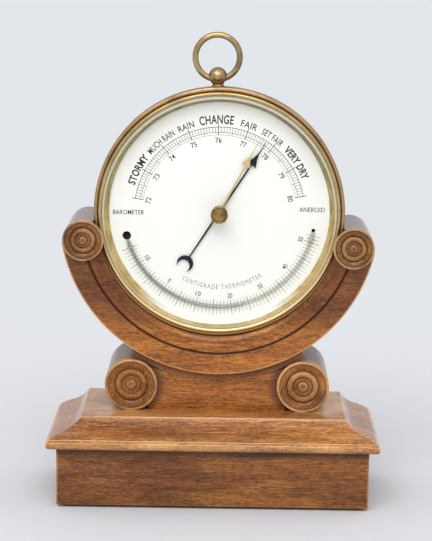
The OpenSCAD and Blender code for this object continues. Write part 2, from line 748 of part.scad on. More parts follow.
// A flat-topped knob on a waisted foot; its stem passes through the glass
module set_knob() color([0.8, 0.62, 0.33]) in_case() {
    rotate_extrude($fn = 64) polygon(concat(
        [[0, set_hand_z], [knob_stem_r, set_hand_z], [knob_stem_r, knob_z], [0.75 * knob_r, knob_z],
         [0.75 * knob_r, knob_z + 0.12 * knob_h], [0.58 * knob_r, knob_z + 0.25 * knob_h],
         [0.58 * knob_r, knob_z + 0.4 * knob_h], [0.92 * knob_r, knob_z + 0.5 * knob_h],
         [knob_r, knob_z + 0.56 * knob_h], [knob_r, knob_z + 0.86 * knob_h]],
        bow([0.9 * knob_r, knob_z + 0.93 * knob_h], [0, knob_z + knob_h], -0.02 * knob_h, 4)
    ));
}

module knob_washers() color(brass) in_case() {
    difference() {
        rod(0.95 * knob_r, knob_z - washer_t, knob_z, $fn = 48);
        rod(knob_stem_r + play, 0, far, $fn = 48);
    }
    difference() {
        rod(2 * knob_stem_r, glass_gap - washer_t, glass_gap, $fn = 48);
        rod(knob_stem_r + play, 0, far, $fn = 48);
    }
}

// The brass set hand is fixed on the knob's stem under the glass
module set_hand() color([0.85, 0.68, 0.4]) in_case() rotate([0, 0, set_angle]) translate([0, 0, set_hand_z])
    difference() {
        union() {
            hand_blade(set_hand_len, -9, 0.55, 0.67, 2.6);
            cylinder(r = set_hub_r, h = hand_t, $fn = 48);
        }
        translate([0, 0, -eps]) cylinder(r = knob_stem_r, h = hand_t + 2 * eps, $fn = 48);
    }

// Pendant and ring

// The ring stands on its lowest wire in a hole across the ball. The wire's middle runs
// half its rise inside the ball below the hole's axis, so that it clears the hole's ends.
ring_rise = ring_r - sqrt(pow(ring_r, 2) - pow(ball_r, 2));
hole_y = ball_dist - 0.23 * ball_r;
hole_r = ring_wire_r + ring_play;
ring_y = hole_y - ring_rise / 2 + ring_r;
stud_end = body_r - drum_wall - 4;
neck_foot = body_r + play;
neck_flare = 1.6;

module pendant() color(brass) in_case() translate([0, 0, pendant_z]) rotate([-90, 0, 0]) difference() {
    union() {
        rotate_extrude($fn = 64) polygon(concat(
            [[0, stud_end], [pendant_stud_r, stud_end], [pendant_stud_r, neck_foot],
             [neck_r + neck_flare, neck_foot], [neck_r + neck_flare, neck_foot + 0.5]],
            bow([neck_r + 0.7 * neck_flare, neck_foot + 0.6], [neck_r, ball_dist - 0.8 * ball_r], -0.4, 4),
            [[0, ball_dist - 0.8 * ball_r]]
        ));
        translate([0, 0, ball_dist]) sphere(r = ball_r, $fn = 64);
    }
    translate([-2 * ball_r, 0, hole_y]) rotate([0, 90, 0]) cylinder(r = hole_r, h = 4 * ball_r, $fn = 64);
}

module pendant_nut() color(brass) in_case() translate([0, body_in - play, pendant_z]) rotate([90, 0, 0])
    difference() {
        cylinder(r = 3.4, h = 2.6, $fn = 6);
        translate([0, 0, -eps]) cylinder(r = pendant_stud_r + play, h = 5, $fn = 48);
    }

module suspension_ring() color(brass) in_case() translate([0, ring_y, pendant_z])
    rotate_extrude($fn = 96) translate([ring_r, 0]) circle(r = ring_wire_r, $fn = 48);

// Movement

capsule_z = movement_face + 0.5;
capsule_top = capsule_z + capsule_t;
spring_z = capsule_top + 5.5;
spring_root = 30;
spring_tip = -8;
bar_t = 4;
bar_y = [20, 38];
bar_x = 34;
post_half = 4;
bridge_z = -9.9;
bridge_t = 1.2;
bridge_half = 9;
bridge_screw_r = 0.8;
chain_z = -5;
shaft_z = spring_z + spring_t + 4.5;
shaft_r = 0.8;
shaft_half = 13;
post_w = 3;
lever_t = 1;
lever_tip = -shaft_drop - crank_len - 2;

module movement_plate() color(brass) in_case() difference() {
    rod(movement_r, movement_z, movement_face, $fn = 192);
    at_back_screws() cylinder(r = screw_r + play, h = 20, $fn = 48);
    at_pillars() translate([0, 0, movement_z - eps]) cylinder(r = screw_r + play, h = 5, $fn = 48);
    rod(adjust_r + slip, movement_z - eps, movement_face + eps, 0, adjust_y, $fn = 48);
    at_bridge_feet() translate([0, 0, movement_face - 0.7]) cylinder(r = screw_r + play, h = 2, $fn = 48);
    rod(2, movement_z - eps, movement_face + eps, $fn = 48);
}

module movement_spacers() color([0.5, 0.5, 0.52]) in_case() at_back_screws() translate([0, 0, back_t])
    difference() {
    cylinder(r = 2 * screw_r, h = spacer_len, $fn = 48);
    translate([0, 0, -eps]) cylinder(r = screw_r + play, h = spacer_len + 2 * eps, $fn = 48);
}

module movement_screws() color([0.5, 0.5, 0.52]) in_case()
    at_back_screws() screw(2.4, 1.1, screw_r, back_t + spacer_len + movement_t);

module movement_pillars() color(brass) in_case() at_pillars() {
    translate([0, 0, movement_face]) cylinder(r = 2.4, h = plate_back - movement_face, $fn = 48);
    translate([0, 0, movement_z]) cylinder(r = screw_r, h = plate_back + 1 - movement_z, $fn = 48);
}

// The capsule's two corrugated skins meet at a flat rim; a stud on each side carries it
function skin(low) = [
    for (i = [0:8 * corrugations]) let (t = i / (8 * corrugations))
        [capsule_r * (0.3 + 0.6 * t), low + 0.5 * (1 - cos(360 * corrugations * t))]
];

module capsule() color([0.75, 0.7, 0.55]) in_case() {
    face = skin(capsule_top - 1.2);
    back = [for (i = [len(face) - 1:-1:0]) [face[i].x, capsule_z + capsule_top - face[i].y]];
    rotate_extrude($fn = 96) polygon(concat(
        [[0, capsule_top], [0.25 * capsule_r, capsule_top]], face,
        [[capsule_r, capsule_top - 0.45 * capsule_t], [capsule_r, capsule_z + 0.45 * capsule_t]], back,
        [[0.25 * capsule_r, capsule_z], [0, capsule_z]]
    ));
    rod(4, movement_face, capsule_z + eps, $fn = 48);
    rod(1.9, movement_z, movement_face + eps, $fn = 48);
    rod(1.5, capsule_top - eps, spring_z + spring_t + 2.6, $fn = 48);
}

// The nut bears on the leaf spring through the end play of the capsule's stud
module capsule_nut() color([0.5, 0.5, 0.52]) in_case() translate([0, 0, spring_z - 2.5]) difference() {
    cylinder(r = 3, h = 2, $fn = 6);
    translate([0, 0, -eps]) cylinder(r = 1.5 + play, h = 4, $fn = 48);
}

// The leaf spring is clamped in the bridge and lies over the capsule
module main_spring() color([0.35, 0.37, 0.42]) in_case() difference() {
    block([-spring_w / 2, spring_tip, spring_z], [spring_w / 2, spring_root, spring_z + spring_t]);
    rod(2, spring_z - eps, spring_z + spring_t + eps, $fn = 48);
}

// A bar on two posts, slotted underneath for the root of the leaf spring
module spring_bridge() color([0.55, 0.55, 0.57]) in_case() {
    bar_z = spring_z + spring_t + 0.3 - 1.8;
    difference() {
        union() {
            block([-bar_x, bar_y[0], bar_z], [bar_x, bar_y[1], bar_z + bar_t]);
            for (s = [-1, 1]) translate([s * (bar_x - post_half), (bar_y[0] + bar_y[1]) / 2 + 4, 0])
                block([-post_half, -5, movement_face], [post_half, 5, bar_z + eps]);
        }
        block([-spring_w / 2 - slip, bar_y[0] - eps, spring_z - 0.3],
              [spring_w / 2 + slip, spring_root + 1, spring_z + spring_t + 0.3]);
        at_bridge_feet() translate([0, 0, movement_face - eps])
            cylinder(r = screw_r + play, h = 7, $fn = 48);
        rod(adjust_r + play, bar_z - eps, bar_z + bar_t + eps, 0, adjust_y, $fn = 48);
    }
}

module at_bridge_feet() {
    for (s = [-1, 1]) translate([s * (bar_x - post_half), (bar_y[0] + bar_y[1]) / 2 + 4, 0]) children();
}

module spring_bridge_screws() color([0.5, 0.5, 0.52]) in_case()
    at_bridge_feet() translate([0, 0, movement_face - 0.4]) cylinder(r = screw_r, h = 6, $fn = 48);

// The lever is riveted on the spring's free end and reaches past the rocking shaft
module main_lever() color([0.6, 0.6, 0.62]) in_case() difference() {
    translate([0, 0, spring_z + spring_t]) linear_extrude(lever_t) polygon([
        [-4, 5], [4, 5], [4, -6], [1.5, -12], [1.5, lever_tip], [-1.5, lever_tip], [-1.5, -12], [-4, -6]
    ]);
    rod(2, spring_z, spring_z + 5, $fn = 48);
}

module link_wire() color([0.6, 0.6, 0.62]) in_case()
    rod(0.4, spring_z + spring_t + lever_t, shaft_z + 0.5, 0, -shaft_drop - crank_len, $fn = 24);

// Shaft with a crank, which the link pulls, and an arm, which pulls the chain
module rocking_shaft() color([0.62, 0.62, 0.65]) in_case() {
    difference() {
        union() {
            cross_rod(shaft_r, shaft_half, -shaft_drop, shaft_z);
            block([-1.2, -shaft_drop - crank_len - 1.2, shaft_z - 0.5], [1.2, -shaft_drop, shaft_z + 0.5]);
            block([-0.7 + chain_x, -shaft_drop - 0.6, shaft_z],
                [0.7 + chain_x, -shaft_drop + 0.6, arm_top]);
        }
        rod(0.7, shaft_z - 1, shaft_z + 1, 0, -shaft_drop - crank_len, $fn = 24);
    }
}

arm_top = shaft_z + arm_len;
chain_x = chain_drum_r + 0.45;

// Posts carry the shaft between the points of two screws
module shaft_posts() color([0.55, 0.55, 0.57]) in_case() for (s = [-1, 1]) difference() {
    block([s * (shaft_half + 1.8) - post_w / 2, -shaft_drop - 2, movement_face],
          [s * (shaft_half + 1.8) + post_w / 2, -shaft_drop + 2, shaft_z + 2.2]);
    cross_rod(0.6 * screw_r + play, shaft_half + 9, -shaft_drop, shaft_z, $fn = 48);
}

module pivot_screws() color([0.5, 0.5, 0.52]) in_case() for (s = [-1, 1])
    translate([s * (shaft_half + play), -shaft_drop, shaft_z]) rotate([0, s * 90, 0]) {
        cylinder(r = 0.6 * screw_r, h = post_w + 1, $fn = 48);
        translate([0, 0, post_w + 0.4]) cylinder(r = screw_r, h = 1, $fn = 48);
    }

// Fusee chain: flat links joined by bars, drawn straight from the arm to the drum
module chain() color([0.5, 0.5, 0.53]) in_case() {
    n = 12;
    start = -shaft_drop + 0.9;
    pitch = (1.5 - start) / n;
    for (i = [0:n - 1]) translate([chain_x, start + pitch * i, chain_z])
        block([-0.12, i % 2 == 0 ? 0 : -0.3, -0.3], [0.12, i % 2 == 0 ? pitch : pitch + 0.3, 0.3]);
}

module chain_drum() color(brass) in_case() difference() {
    union() {
        rod(chain_drum_r, chain_z - 1, chain_z + 1, $fn = 48);
        rod(1.3 * chain_drum_r, chain_z + 1, chain_z + 1.3, $fn = 48);
        rod(1.3 * chain_drum_r, chain_z - 1.3, chain_z - 1, $fn = 48);
    }
    rod(arbor_r, chain_z - 2, chain_z + 2, $fn = 48);
}

// Spiral strip: radius grows by a constant step for each turn
hair_in = 1.6;
hair_out = 5.2;
hair_turns = 6;
hair_t = 0.2;
hair_z = chain_z - 2.4;
function spiral(off) = [
    for (i = [0:20 * hair_turns])
        let (t = i / (20 * hair_turns), r = hair_in + (hair_out - hair_in) * t + off)
        r * [cos(360 * hair_turns * t), sin(360 * hair_turns * t)]
];

module hairspring() color([0.3, 0.32, 0.4]) in_case() translate([0, 0, hair_z]) linear_extrude(0.6) {
    outer = spiral(hair_t);
    polygon(concat(spiral(0), [for (i = [len(outer) - 1:-1:0]) outer[i]]));
}

module hairspring_stud() color([0.55, 0.55, 0.57]) in_case()
    rod(0.6, bridge_z + bridge_t, hair_z + 0.9, hair_out + hair_t + 0.6, 0, $fn = 32);

module at_bridge_posts() {
    for (s = [-1, 1]) translate([s * bridge_half, 0, plate_back]) children();
}

// A small cock under the dial carries the arbor's lower end
module arbor_bridge() color(brass) in_case() difference() {
    union() {
        block([-bridge_half - 2.5, -2.5, bridge_z], [bridge_half + 2.5, 2.5, bridge_z + bridge_t]);
        for (s = [-1, 1]) rod(2, bridge_z + bridge_t / 2, plate_back, s * bridge_half, 0, $fn = 48);
    }
    rod(arbor_r + play, bridge_z - eps, bridge_z + bridge_t + eps, $fn = 48);
    for (s = [-1, 1])
        rod(bridge_screw_r + play, bridge_z - eps, plate_back + eps, s * bridge_half, 0, $fn = 48);
}

module bridge_screws() color([0.5, 0.5, 0.52]) in_case() for (s = [-1, 1])
    translate([s * bridge_half, 0, bridge_z]) screw(1.5, 0.9, bridge_screw_r, plate_back - bridge_z + 0.9);

module adjusting_screw() color([0.5, 0.5, 0.52]) in_case() translate([0, adjust_y, case_back_z + 0.6]) {
    top = spring_z + spring_t + bar_t - 1.5 + 1;
    difference() {
        rod(adjust_r, 0, top - case_back_z - 0.6, $fn = 48);
        translate([-2 * adjust_r, -0.3, -eps]) cube([4 * adjust_r, 0.6, 1 + eps]);
    }
}

base_felt();
plinth_block();
plinth_top();
plinth_screws();
pedestal_screws();
pedestal();
lower_roll_left();
lower_roll_right();
lower_roll_dowels();
cradle();
cradle_dowels();
upper_roll_left();
upper_roll_right();
upper_roll_dowels();
case_drum();
case_back();
case_screws();
bezel();
glass();
dial_ring();
dial();
dial_plate();
dial_seat();
dial_screws();
thermometer_tube();
mercury_column();
tube_clips();
pressure_hand();
hand_collet();
hand_arbor();
chain_drum();
hairspring();
hairspring_stud();
arbor_bridge();
bridge_screws();
chain();
rocking_shaft();
shaft_posts();
pivot_screws();
link_wire();
main_lever();
main_spring();
spring_bridge();
spring_bridge_screws();
capsule();
capsule_nut();
movement_plate();
movement_spacers();
movement_screws();
movement_pillars();
adjusting_screw();
pendant();
pendant_nut();
suspension_ring();
set_knob();
knob_washers();
set_hand();
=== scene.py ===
import bmesh
import bpy
import numpy as np
from mathutils import Matrix


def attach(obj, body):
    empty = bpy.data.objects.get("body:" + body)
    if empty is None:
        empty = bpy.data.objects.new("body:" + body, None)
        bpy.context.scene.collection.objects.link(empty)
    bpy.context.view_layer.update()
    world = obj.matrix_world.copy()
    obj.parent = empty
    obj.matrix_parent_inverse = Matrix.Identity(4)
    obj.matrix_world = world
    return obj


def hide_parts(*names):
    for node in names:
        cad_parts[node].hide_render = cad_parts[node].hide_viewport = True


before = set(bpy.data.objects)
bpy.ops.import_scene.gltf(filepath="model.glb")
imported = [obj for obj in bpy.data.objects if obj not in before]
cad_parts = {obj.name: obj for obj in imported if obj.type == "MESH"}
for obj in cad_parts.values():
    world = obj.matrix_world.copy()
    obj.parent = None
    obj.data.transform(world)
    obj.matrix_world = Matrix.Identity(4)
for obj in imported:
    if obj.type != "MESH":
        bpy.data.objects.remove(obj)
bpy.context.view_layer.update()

# The camera stands about a metre in front of the barometer, a little above it, and
# looks slightly down. Its place was fitted to the corners of the plinth, the circles
# of the four rolls and the ellipses of the dial. The picture is taken as 432 x 541.
FOCAL_PIXELS, PICTURE_HEIGHT, SENSOR_MM = 1899.25, 541, 36
CAMERA_PLACE = np.array([0.00618, -0.97495, 0.29838])
CAMERA_YAW, CAMERA_PITCH, CAMERA_ROLL = -0.0061, 0.18167, 0.01343


def aim(name, data, place, right, up, ahead):
    """A camera or lamp at a place in metres, turned so that its right side, its top and its view lie along three
    unit vectors."""
    turn = np.eye(4)
    turn[:3, :3] = np.stack([right, up, -ahead], axis=1)
    turn[:3, 3] = place
    made = bpy.data.objects.new(name, data)
    made.matrix_world = Matrix(turn.tolist())
    bpy.context.scene.collection.objects.link(made)
    return made


forward = np.array([np.sin(CAMERA_YAW) * np.cos(CAMERA_PITCH), np.cos(CAMERA_YAW) * np.cos(CAMERA_PITCH),
                    -np.sin(CAMERA_PITCH)])
level = np.array([np.cos(CAMERA_YAW), -np.sin(CAMERA_YAW), 0.0])
upright = np.cross(level, forward)
camera_data = bpy.data.cameras.new("camera")
camera_data.sensor_fit = "AUTO"
camera_data.sensor_width = SENSOR_MM
camera_data.lens = FOCAL_PIXELS * SENSOR_MM / PICTURE_HEIGHT
camera_data.clip_start = 0.01
camera_data.clip_end = 50
bpy.context.scene.camera = aim(
    "camera", camera_data, CAMERA_PLACE, np.cos(CAMERA_ROLL) * level + np.sin(CAMERA_ROLL) * upright,
    np.cos(CAMERA_ROLL) * upright - np.sin(CAMERA_ROLL) * level, forward)

# Floor and light: a pale seamless floor under an even sky that is brighter above, with
# one broad soft lamp high up in front. Together they light a level white card to about
# white.
bpy.context.scene.view_settings.view_transform = "Standard"


def paint(red, green, blue):
    """A colour given as 0 to 255 of a screen, as the linear values that a shader takes."""
    c = np.array([red, green, blue]) / 255
    c = np.where(c <= 0.04045, c / 12.92, ((c + 0.055) / 1.055) ** 2.4)
    return (*c.tolist(), 1.0)


class Value:
    """One output of a finish's nodes. Arithmetic on it adds Math nodes to the finish."""

    def __init__(self, finish, socket):
        self.finish, self.socket = finish, socket

    def __add__(self, other):
        return self.finish.math("ADD", self, other)

    def __sub__(self, other):
        return self.finish.math("SUBTRACT", self, other)

    def __rsub__(self, other):
        return self.finish.math("SUBTRACT", other, self)

    def __mul__(self, other):
        return self.finish.math("MULTIPLY", self, other)

    __radd__ = __add__
    __rmul__ = __mul__


class Finish:
    """A material, or the world's sky, while its nodes are laid out."""

    def __init__(self, name, tree=None):
        self.material = None
        if tree is None:
            self.material = bpy.data.materials.new(name)
            self.material.use_nodes = True
            tree = self.material.node_tree
        self.tree = tree
        tree.nodes.clear()

    def node(self, kind, sockets=None, out=0, stops=(), **settings):
        """Adds a node of that type with its settings, a ramp's stops, and the values or links of its sockets."""
        made = self.tree.nodes.new("ShaderNode" + kind)
        for key, value in settings.items():
            setattr(made, key, value)
        for _ in stops[2:]:
            made.color_ramp.elements.new(0.5)
        for number, (place, colour) in enumerate(stops):
            stop = made.color_ramp.elements[number]
            stop.position, stop.color = place, colour
        for key, value in (sockets or {}).items():
            if isinstance(value, Value):
                self.tree.links.new(value.socket, made.inputs[key])
            else:
                made.inputs[key].default_value = value
        return Value(self, made.outputs[out])

    def math(self, operation, *values):
        return self.node("Math", dict(enumerate(values)), operation=operation)

    def step(self, value, low, high, first=0.0, last=1.0):
        """A soft step: first below low, last above high, and a smooth rise between."""
        return self.node("MapRange", {"Value": value, "From Min": low, "From Max": high, "To Min": first,
                                      "To Max": last}, interpolation_type="SMOOTHSTEP")

    def mix(self, factor, a, b, blend="MIX"):
        """A colour between a and b."""
        return self.node("Mix", {0: factor, 6: a, 7: b}, 2, data_type="RGBA", blend_type=blend)

    def object_place(self, scale=(1, 1, 1), turn=(0, 0, 0), shift=(0, 0, 0)):
        """The point's place on the object in metres, turned, then stretched by scale."""
        place = self.node("TexCoord", out="Object")
        if turn != (0, 0, 0) or shift != (0, 0, 0):
            place = self.node("Mapping", {"Vector": place, "Rotation": turn, "Location": shift})
        return self.node("Mapping", {"Vector": place, "Scale": scale})

    def along(self, axis):
        """The point's place on the object along X, Y or Z, in mm."""
        return self.node("SeparateXYZ", {0: self.object_place()}, axis) * 1000

    def from_middle(self, x, z):
        """The point's distance in mm from the level line that runs along y through x and z, in mm."""
        place = self.object_place((1, 0, 1), shift=(-x / 1000, 0, -z / 1000))
        return self.node("VectorMath", {0: place}, "Value", operation="LENGTH") * 1000

    def noise(self, place, scale=1.0, detail=2.0, rough=0.5, bend=0.0):
        return self.node("TexNoise", {
            "Vector": place, "Scale": scale, "Detail": detail, "Roughness": rough, "Distortion": bend})

    def bump(self, height, strength, depth):
        """A Normal from a height of 0 to 1, as deep as depth in metres."""
        return self.node("Bump", {"Height": height, "Strength": strength, "Distance": depth})

    def surface(self, **sockets):
        """Ends the finish in one Principled shader, and returns the material."""
        return self.end(self.node("BsdfPrincipled", {key.replace("_", " "): v for key, v in sockets.items()}))

    def end(self, shader):
        output = self.tree.nodes.new("ShaderNodeOutput" + ("Material" if self.material else "World"))
        self.tree.links.new(shader.socket, output.inputs["Surface"])
        return self.material


sky = bpy.data.worlds.new("sky")
sky.use_nodes = True
bpy.context.scene.world = sky
f = Finish("sky", sky.node_tree)
seen_tone = paint(227, 230, 235)
height = f.node("SeparateXYZ", {0: f.node("TexCoord", out="Generated")}, "Z")
lit_sky = f.mix(f.step(height, -0.1, 0.9), (0.62, 0.62, 0.63, 1.0), (0.98, 0.98, 0.98, 1.0))
seen = f.math("MAXIMUM", f.node("LightPath", out="Is Camera Ray"), f.node("LightPath", out="Is Transmission Ray"))
f.end(f.node("Background", {"Color": f.mix(seen, lit_sky, seen_tone), "Strength": 1.0}))


def grid_faces(rows, columns, close_rows=False, close_columns=False):
    """The four-cornered faces of a grid of points: face (i, j) joins points i, i + 1 of a row and j, j + 1."""
    i = np.arange(rows if close_rows else rows - 1)[:, None]
    j = np.arange(columns if close_columns else columns - 1)[None, :]
    i2, j2 = (i + 1) % rows, (j + 1) % columns
    return np.stack(np.broadcast_arrays(i * columns + j, i * columns + j2, i2 * columns + j2, i2 * columns + j),
                    axis=-1).reshape(-1, 4)


def build(name, shells, finish, sharp=32, merge=True, smooth=True):
    """One object from shells of (points in mm, faces). Points that coincide are merged, which closes seams and
    poles, and the faces of each closed shell are turned outwards. Edges of more than sharp degrees stay sharp."""
    points, faces, start = [], [], 0
    for shell_points, shell_faces in shells:
        shell_points = np.asarray(shell_points, float).reshape(-1, 3)
        points.append(shell_points)
        faces += [[int(start + k) for k in face] for face in shell_faces]
        start += len(shell_points)
    mesh = bpy.data.meshes.new(name)
    mesh.from_pydata((np.concatenate(points) / 1000).tolist(), [], faces)
    if merge:
        work = bmesh.new()
        work.from_mesh(mesh)
        bmesh.ops.remove_doubles(work, verts=work.verts, dist=2e-6)
        bmesh.ops.recalc_face_normals(work, faces=work.faces)
        work.to_mesh(mesh)
        work.free()
    if smooth:
        mesh.shade_smooth()
        mesh.set_sharp_from_angle(angle=np.radians(sharp))
    mesh.materials.append(finish)
    made = bpy.data.objects.new(name, mesh)
    bpy.context.scene.collection.objects.link(made)
    return made


def turned(profile, turns=120, reach=None, closed=False):
    """A profile of (radius, height) carried round the z axis. reach, if given, is an array [profile, turn] of the
    greatest radius that a point may have, where another piece cuts into the turning. A closed profile's last
    point joins its first."""
    a = np.linspace(0, 2 * np.pi, turns, endpoint=False)
    r = np.repeat(profile[:, :1], turns, axis=1)
    if reach is not None:
        r = np.minimum(r, reach)
    points = np.stack([r * np.cos(a), r * np.sin(a), np.repeat(profile[:, 1:], turns, axis=1)], axis=-1)
    return points, grid_faces(len(profile), turns, close_rows=closed, close_columns=True)


f = Finish("pale_floor")
depth = f.along("Y")
far_away = f.step(depth, 50, 800)
# Painted shade: the floor is darker close to the camera than further back.
painted_shade_near = f.step(depth, -200, -100, 1.0, 0.0)
near = f.node("BsdfPrincipled", {
    "Base Color": f.mix(far_away, f.mix(painted_shade_near, paint(209, 210, 215), paint(221, 221, 226)),
                        paint(226, 229, 234)),
    "Roughness": 0.85, "Specular IOR Level": 0.2})
beyond = f.node("Emission", {"Color": seen_tone})
floor_finish = f.end(f.node("MixShader", {
    0: far_away * f.node("LightPath", out="Is Camera Ray"), 1: near, 2: beyond}))
floor = build("floor", [turned(np.array([[0.0, 0], [300, 0], [1500, 0], [12000, 0]]), 96)], floor_finish)

lamp_data = bpy.data.lights.new("soft_lamp", "AREA")
lamp_data.shape = "RECTANGLE"
lamp_data.size, lamp_data.size_y = 1.7, 1.2
lamp_data.energy = 22.5
lamp_place = np.array([-0.2, -1.4, 1.6])
lamp_look = np.array([0.0, 0.0, 0.12]) - lamp_place
lamp_look /= np.linalg.norm(lamp_look)
lamp_side = np.cross(lamp_look, [0, 0, 1])
lamp_side /= np.linalg.norm(lamp_side)
aim("soft_lamp", lamp_data, lamp_place, lamp_side, np.cross(lamp_side, lamp_look), lamp_look)

# Felt under the block: dark green baize, glued to the underside so that the plinth
# doesn't scratch the table.


def dress(finish, *nodes):
    """Gives CAD nodes that stay as they are their finish."""
    for node in nodes:
        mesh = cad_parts[node].data
        mesh.materials.clear()
        mesh.materials.append(finish)


f = Finish("baize")
fluff = f.noise(f.object_place(), 1900, 3, 0.7)
dress(f.surface(
    Base_Color=f.mix(fluff, paint(18, 26, 18), paint(46, 58, 42)), Roughness=0.95, Specular_IOR_Level=0.1,
    Normal=f.bump(fluff, 0.6, 0.0003)), "base_felt")

# Plinth block: one plain piece of beech, stained walnut brown and waxed, its long edges
# barely eased. Screws go up from below into the moulded top.
PLINTH_W, PLINTH_D, PLINTH_H, FELT_T, BACK_Y = 161.0, 71.7, 30.1, 1.5, 38.5
BLOCK_FRONT = BACK_Y - PLINTH_D


def wood(name, light, middle, dark, grain=(0, 0, 0), shift=(0, 0, 0), gloss=0.42, rings=(),
         ends=None, under=None, behind=None, wear=0.9, streaks=0.6, coat=0.85):
    """Stained and waxed beech in three colours. The grain runs along x before it is turned: broad layers of
    growth as strong as streaks, a fine fibre, short dark pores and flecks along the grain, polish worn off
    raised edges together with a painted highlight along them, both by the share wear, and painted shade in
    hollows, under a coat of wax. rings holds (x, z, none, full, end, share) in mm: painted shade round that
    middle, none at one radius, its full share at another, and none from the end on. under is (low, high,
    share): the same painted shade below an overhang, and behind the same painted shade with depth. ends is
    (x, z, radius, height, front): the front outer corner of a ring, brightened by wear and a painted
    highlight, its outer side, painted darker as shade, and the height in mm above which the wood is painted
    darker as shade."""
    f = Finish(name)

    def grained(scale, detail, rough, bend=0.0):
        return f.noise(f.object_place(scale, grain, shift), 1, detail, rough, bend)

    layers = grained((12, 90, 130), 4, 0.6, 0.5)
    clouds = grained((26, 60, 60), 3, 0.55)
    fibre = grained((110, 1300, 1300), 3, 0.65)
    pores = grained((260, 2300, 2300), 1, 0.4)
    flecks = grained((120, 900, 900), 2, 0.5, 0.2)
    speckle = grained((420, 1500, 1500), 2, 0.6)
    tone = layers * streaks + clouds * 0.35 + fibre * 0.75 + speckle * 0.6 - 0.35 - 0.5 * streaks
    colour = f.node("ValToRGB", {0: tone}, stops=[(0.22, dark), (0.5, middle), (0.78, light)])
    marks = f.math("MAXIMUM", f.step(pores, 0.60, 0.72) * 0.6, f.step(flecks, 0.62, 0.72) * 0.35)
    colour = f.mix(marks, colour, f.mix(0.72, dark, (0.012, 0.005, 0.003, 1.0)))
    edge = f.node("Attribute", out="Fac", attribute_name="edge")
    # Polish rubbed off the raised edges, together with a painted highlight along them.
    worn_and_highlight = f.step(edge + clouds * 0.25 + speckle * 0.1, 0.68, 0.90) * wear
    # Painted shade in hollows, and round each ring's middle.
    hollow_shade = f.step(edge, 0.08, 0.42, 1.0, 0.0) * 0.75
    for x, z, none, full, end, share in rings:
        out = f.from_middle(x, z)
        hollow_shade = f.math("MAXIMUM", hollow_shade, f.step(out, none, full) * f.step(out, end - 0.6, end, share, 0.0))
    height, depth = f.along("Z"), f.along("Y")
    # Painted shade below an overhang.
    if under:
        hollow_shade = f.math("MAXIMUM", hollow_shade, f.step(height, under[0], under[1]) * under[2])
    # Painted shade: darker further back from the front.
    if behind:
        colour = f.mix(f.step(depth, behind[0], behind[1]) * behind[2], colour, dark)
    if ends:
        x, z, radius, above, front = ends
        out = f.from_middle(x, z)
        # A painted highlight, with wear, along the ring's front outer corner.
        corner = f.step(out, radius - 1.0, radius - 0.4) * f.step(depth, front + 0.5, front + 1.8, 1.0, 0.0)
        worn_and_highlight = f.math("MAXIMUM", worn_and_highlight, corner * 0.6)
        # Painted shade: darker above a height and on the ring's outer side.
        upper = f.step(height + clouds * 20, above - 15, above + 15)
        colour = f.mix(upper, colour, (0.37, 0.33, 0.38, 1.0), "MULTIPLY")
        outer = f.step(out, radius - 0.3, radius - 0.1) * f.step(depth, front + 0.8, front + 3)
        colour = f.mix(outer * 0.45, colour, dark)
    # The painted highlight's pale gold on raised edges, and the painted shade's near black in hollows.
    colour = f.mix(hollow_shade, f.mix(worn_and_highlight, colour, f.mix(0.8, light, paint(246, 194, 128))),
                   f.mix(0.35, dark, (0.01, 0.004, 0.002, 1.0)))
    return f.surface(
        Base_Color=colour, Roughness=gloss + clouds * 0.12 + marks * 0.2, Specular_IOR_Level=0.12,
        Coat_Weight=coat, Coat_Roughness=0.12, Coat_IOR=1.38,
        Normal=f.bump(fibre * 0.3 - marks * 0.8 + clouds * 0.2, 0.45, 0.00015))


def read(items, what, width=3, kind=float):
    """One property of all of a mesh's points, edges or faces, as an array with a row for each."""
    values = np.empty(len(items) * width, dtype=kind)
    items.foreach_get(what, values)
    return values.reshape(-1, width)


def edge_tone(made, reach=1.0):
    """Stores how strongly each point stands out, as the attribute "edge": the mean over its edges of the sine
    by which the neighbour lies below its tangent plane, for a neighbour reach mm away. 0.5 is flat."""
    mesh = made.data
    place, normal = read(mesh.vertices, "co") * 1000, read(mesh.vertices, "normal")
    ends = read(mesh.edges, "vertices", 2, np.int32)
    total, weights = np.zeros(len(place)), np.zeros(len(place))
    for a, b in ((0, 1), (1, 0)):
        step = place[ends[:, b]] - place[ends[:, a]]
        length = np.maximum(np.linalg.norm(step, axis=1), 1e-6)
        fall = -np.einsum("ij,ij->i", step, normal[ends[:, a]]) / length
        weight = 1 / (length + 0.2)
        np.add.at(total, ends[:, a], fall * weight * np.minimum(reach / length, 1.5))
        np.add.at(weights, ends[:, a], weight)
    tone = np.clip(0.5 + 0.9 * total / np.maximum(weights, 1e-9), 0, 1)
    mesh.attributes.new("edge", "FLOAT", "POINT").data.foreach_set("value", tone.astype(np.float32))


def rounded_outline(x0, x1, y0, y1, radius, steps=4):
    """A rectangle's outline with its corners as quarter circles of that radius, anticlockwise, and a few more
    points on each side, near its ends and in its middle."""
    quarter = np.linspace(0, np.pi / 2, steps + 1)
    corners = []
    for k, (cx, cy) in enumerate([(x1 - radius, y1 - radius), (x0 + radius, y1 - radius),
                                  (x0 + radius, y0 + radius), (x1 - radius, y0 + radius)]):
        a = quarter + k * np.pi / 2
        corners.append(np.stack([cx + radius * np.cos(a), cy + radius * np.sin(a)], axis=1))
    sides = []
    for corner, following in zip(corners, corners[1:] + corners[:1]):
        way = following[0] - corner[-1]
        length = np.linalg.norm(way)
        share = np.array([0.8, 2.5, length / 2, length - 2.5, length - 0.8])[:, None] / length
        sides += [corner, corner[-1] + way * share]
    return np.concatenate(sides)


def stacked(layers):
    """A closed shell from (outline, height) layers, whose outlines all have as many points, with a flat lid on
    the first and last."""
    rings = np.array([np.column_stack([outline, np.full(len(outline), z)]) for outline, z in layers])
    rows, columns = rings.shape[:2]
    faces = grid_faces(rows, columns, close_columns=True).tolist()
    faces += [list(range(columns)), list(range((rows - 1) * columns, rows * columns))]
    return rings, faces


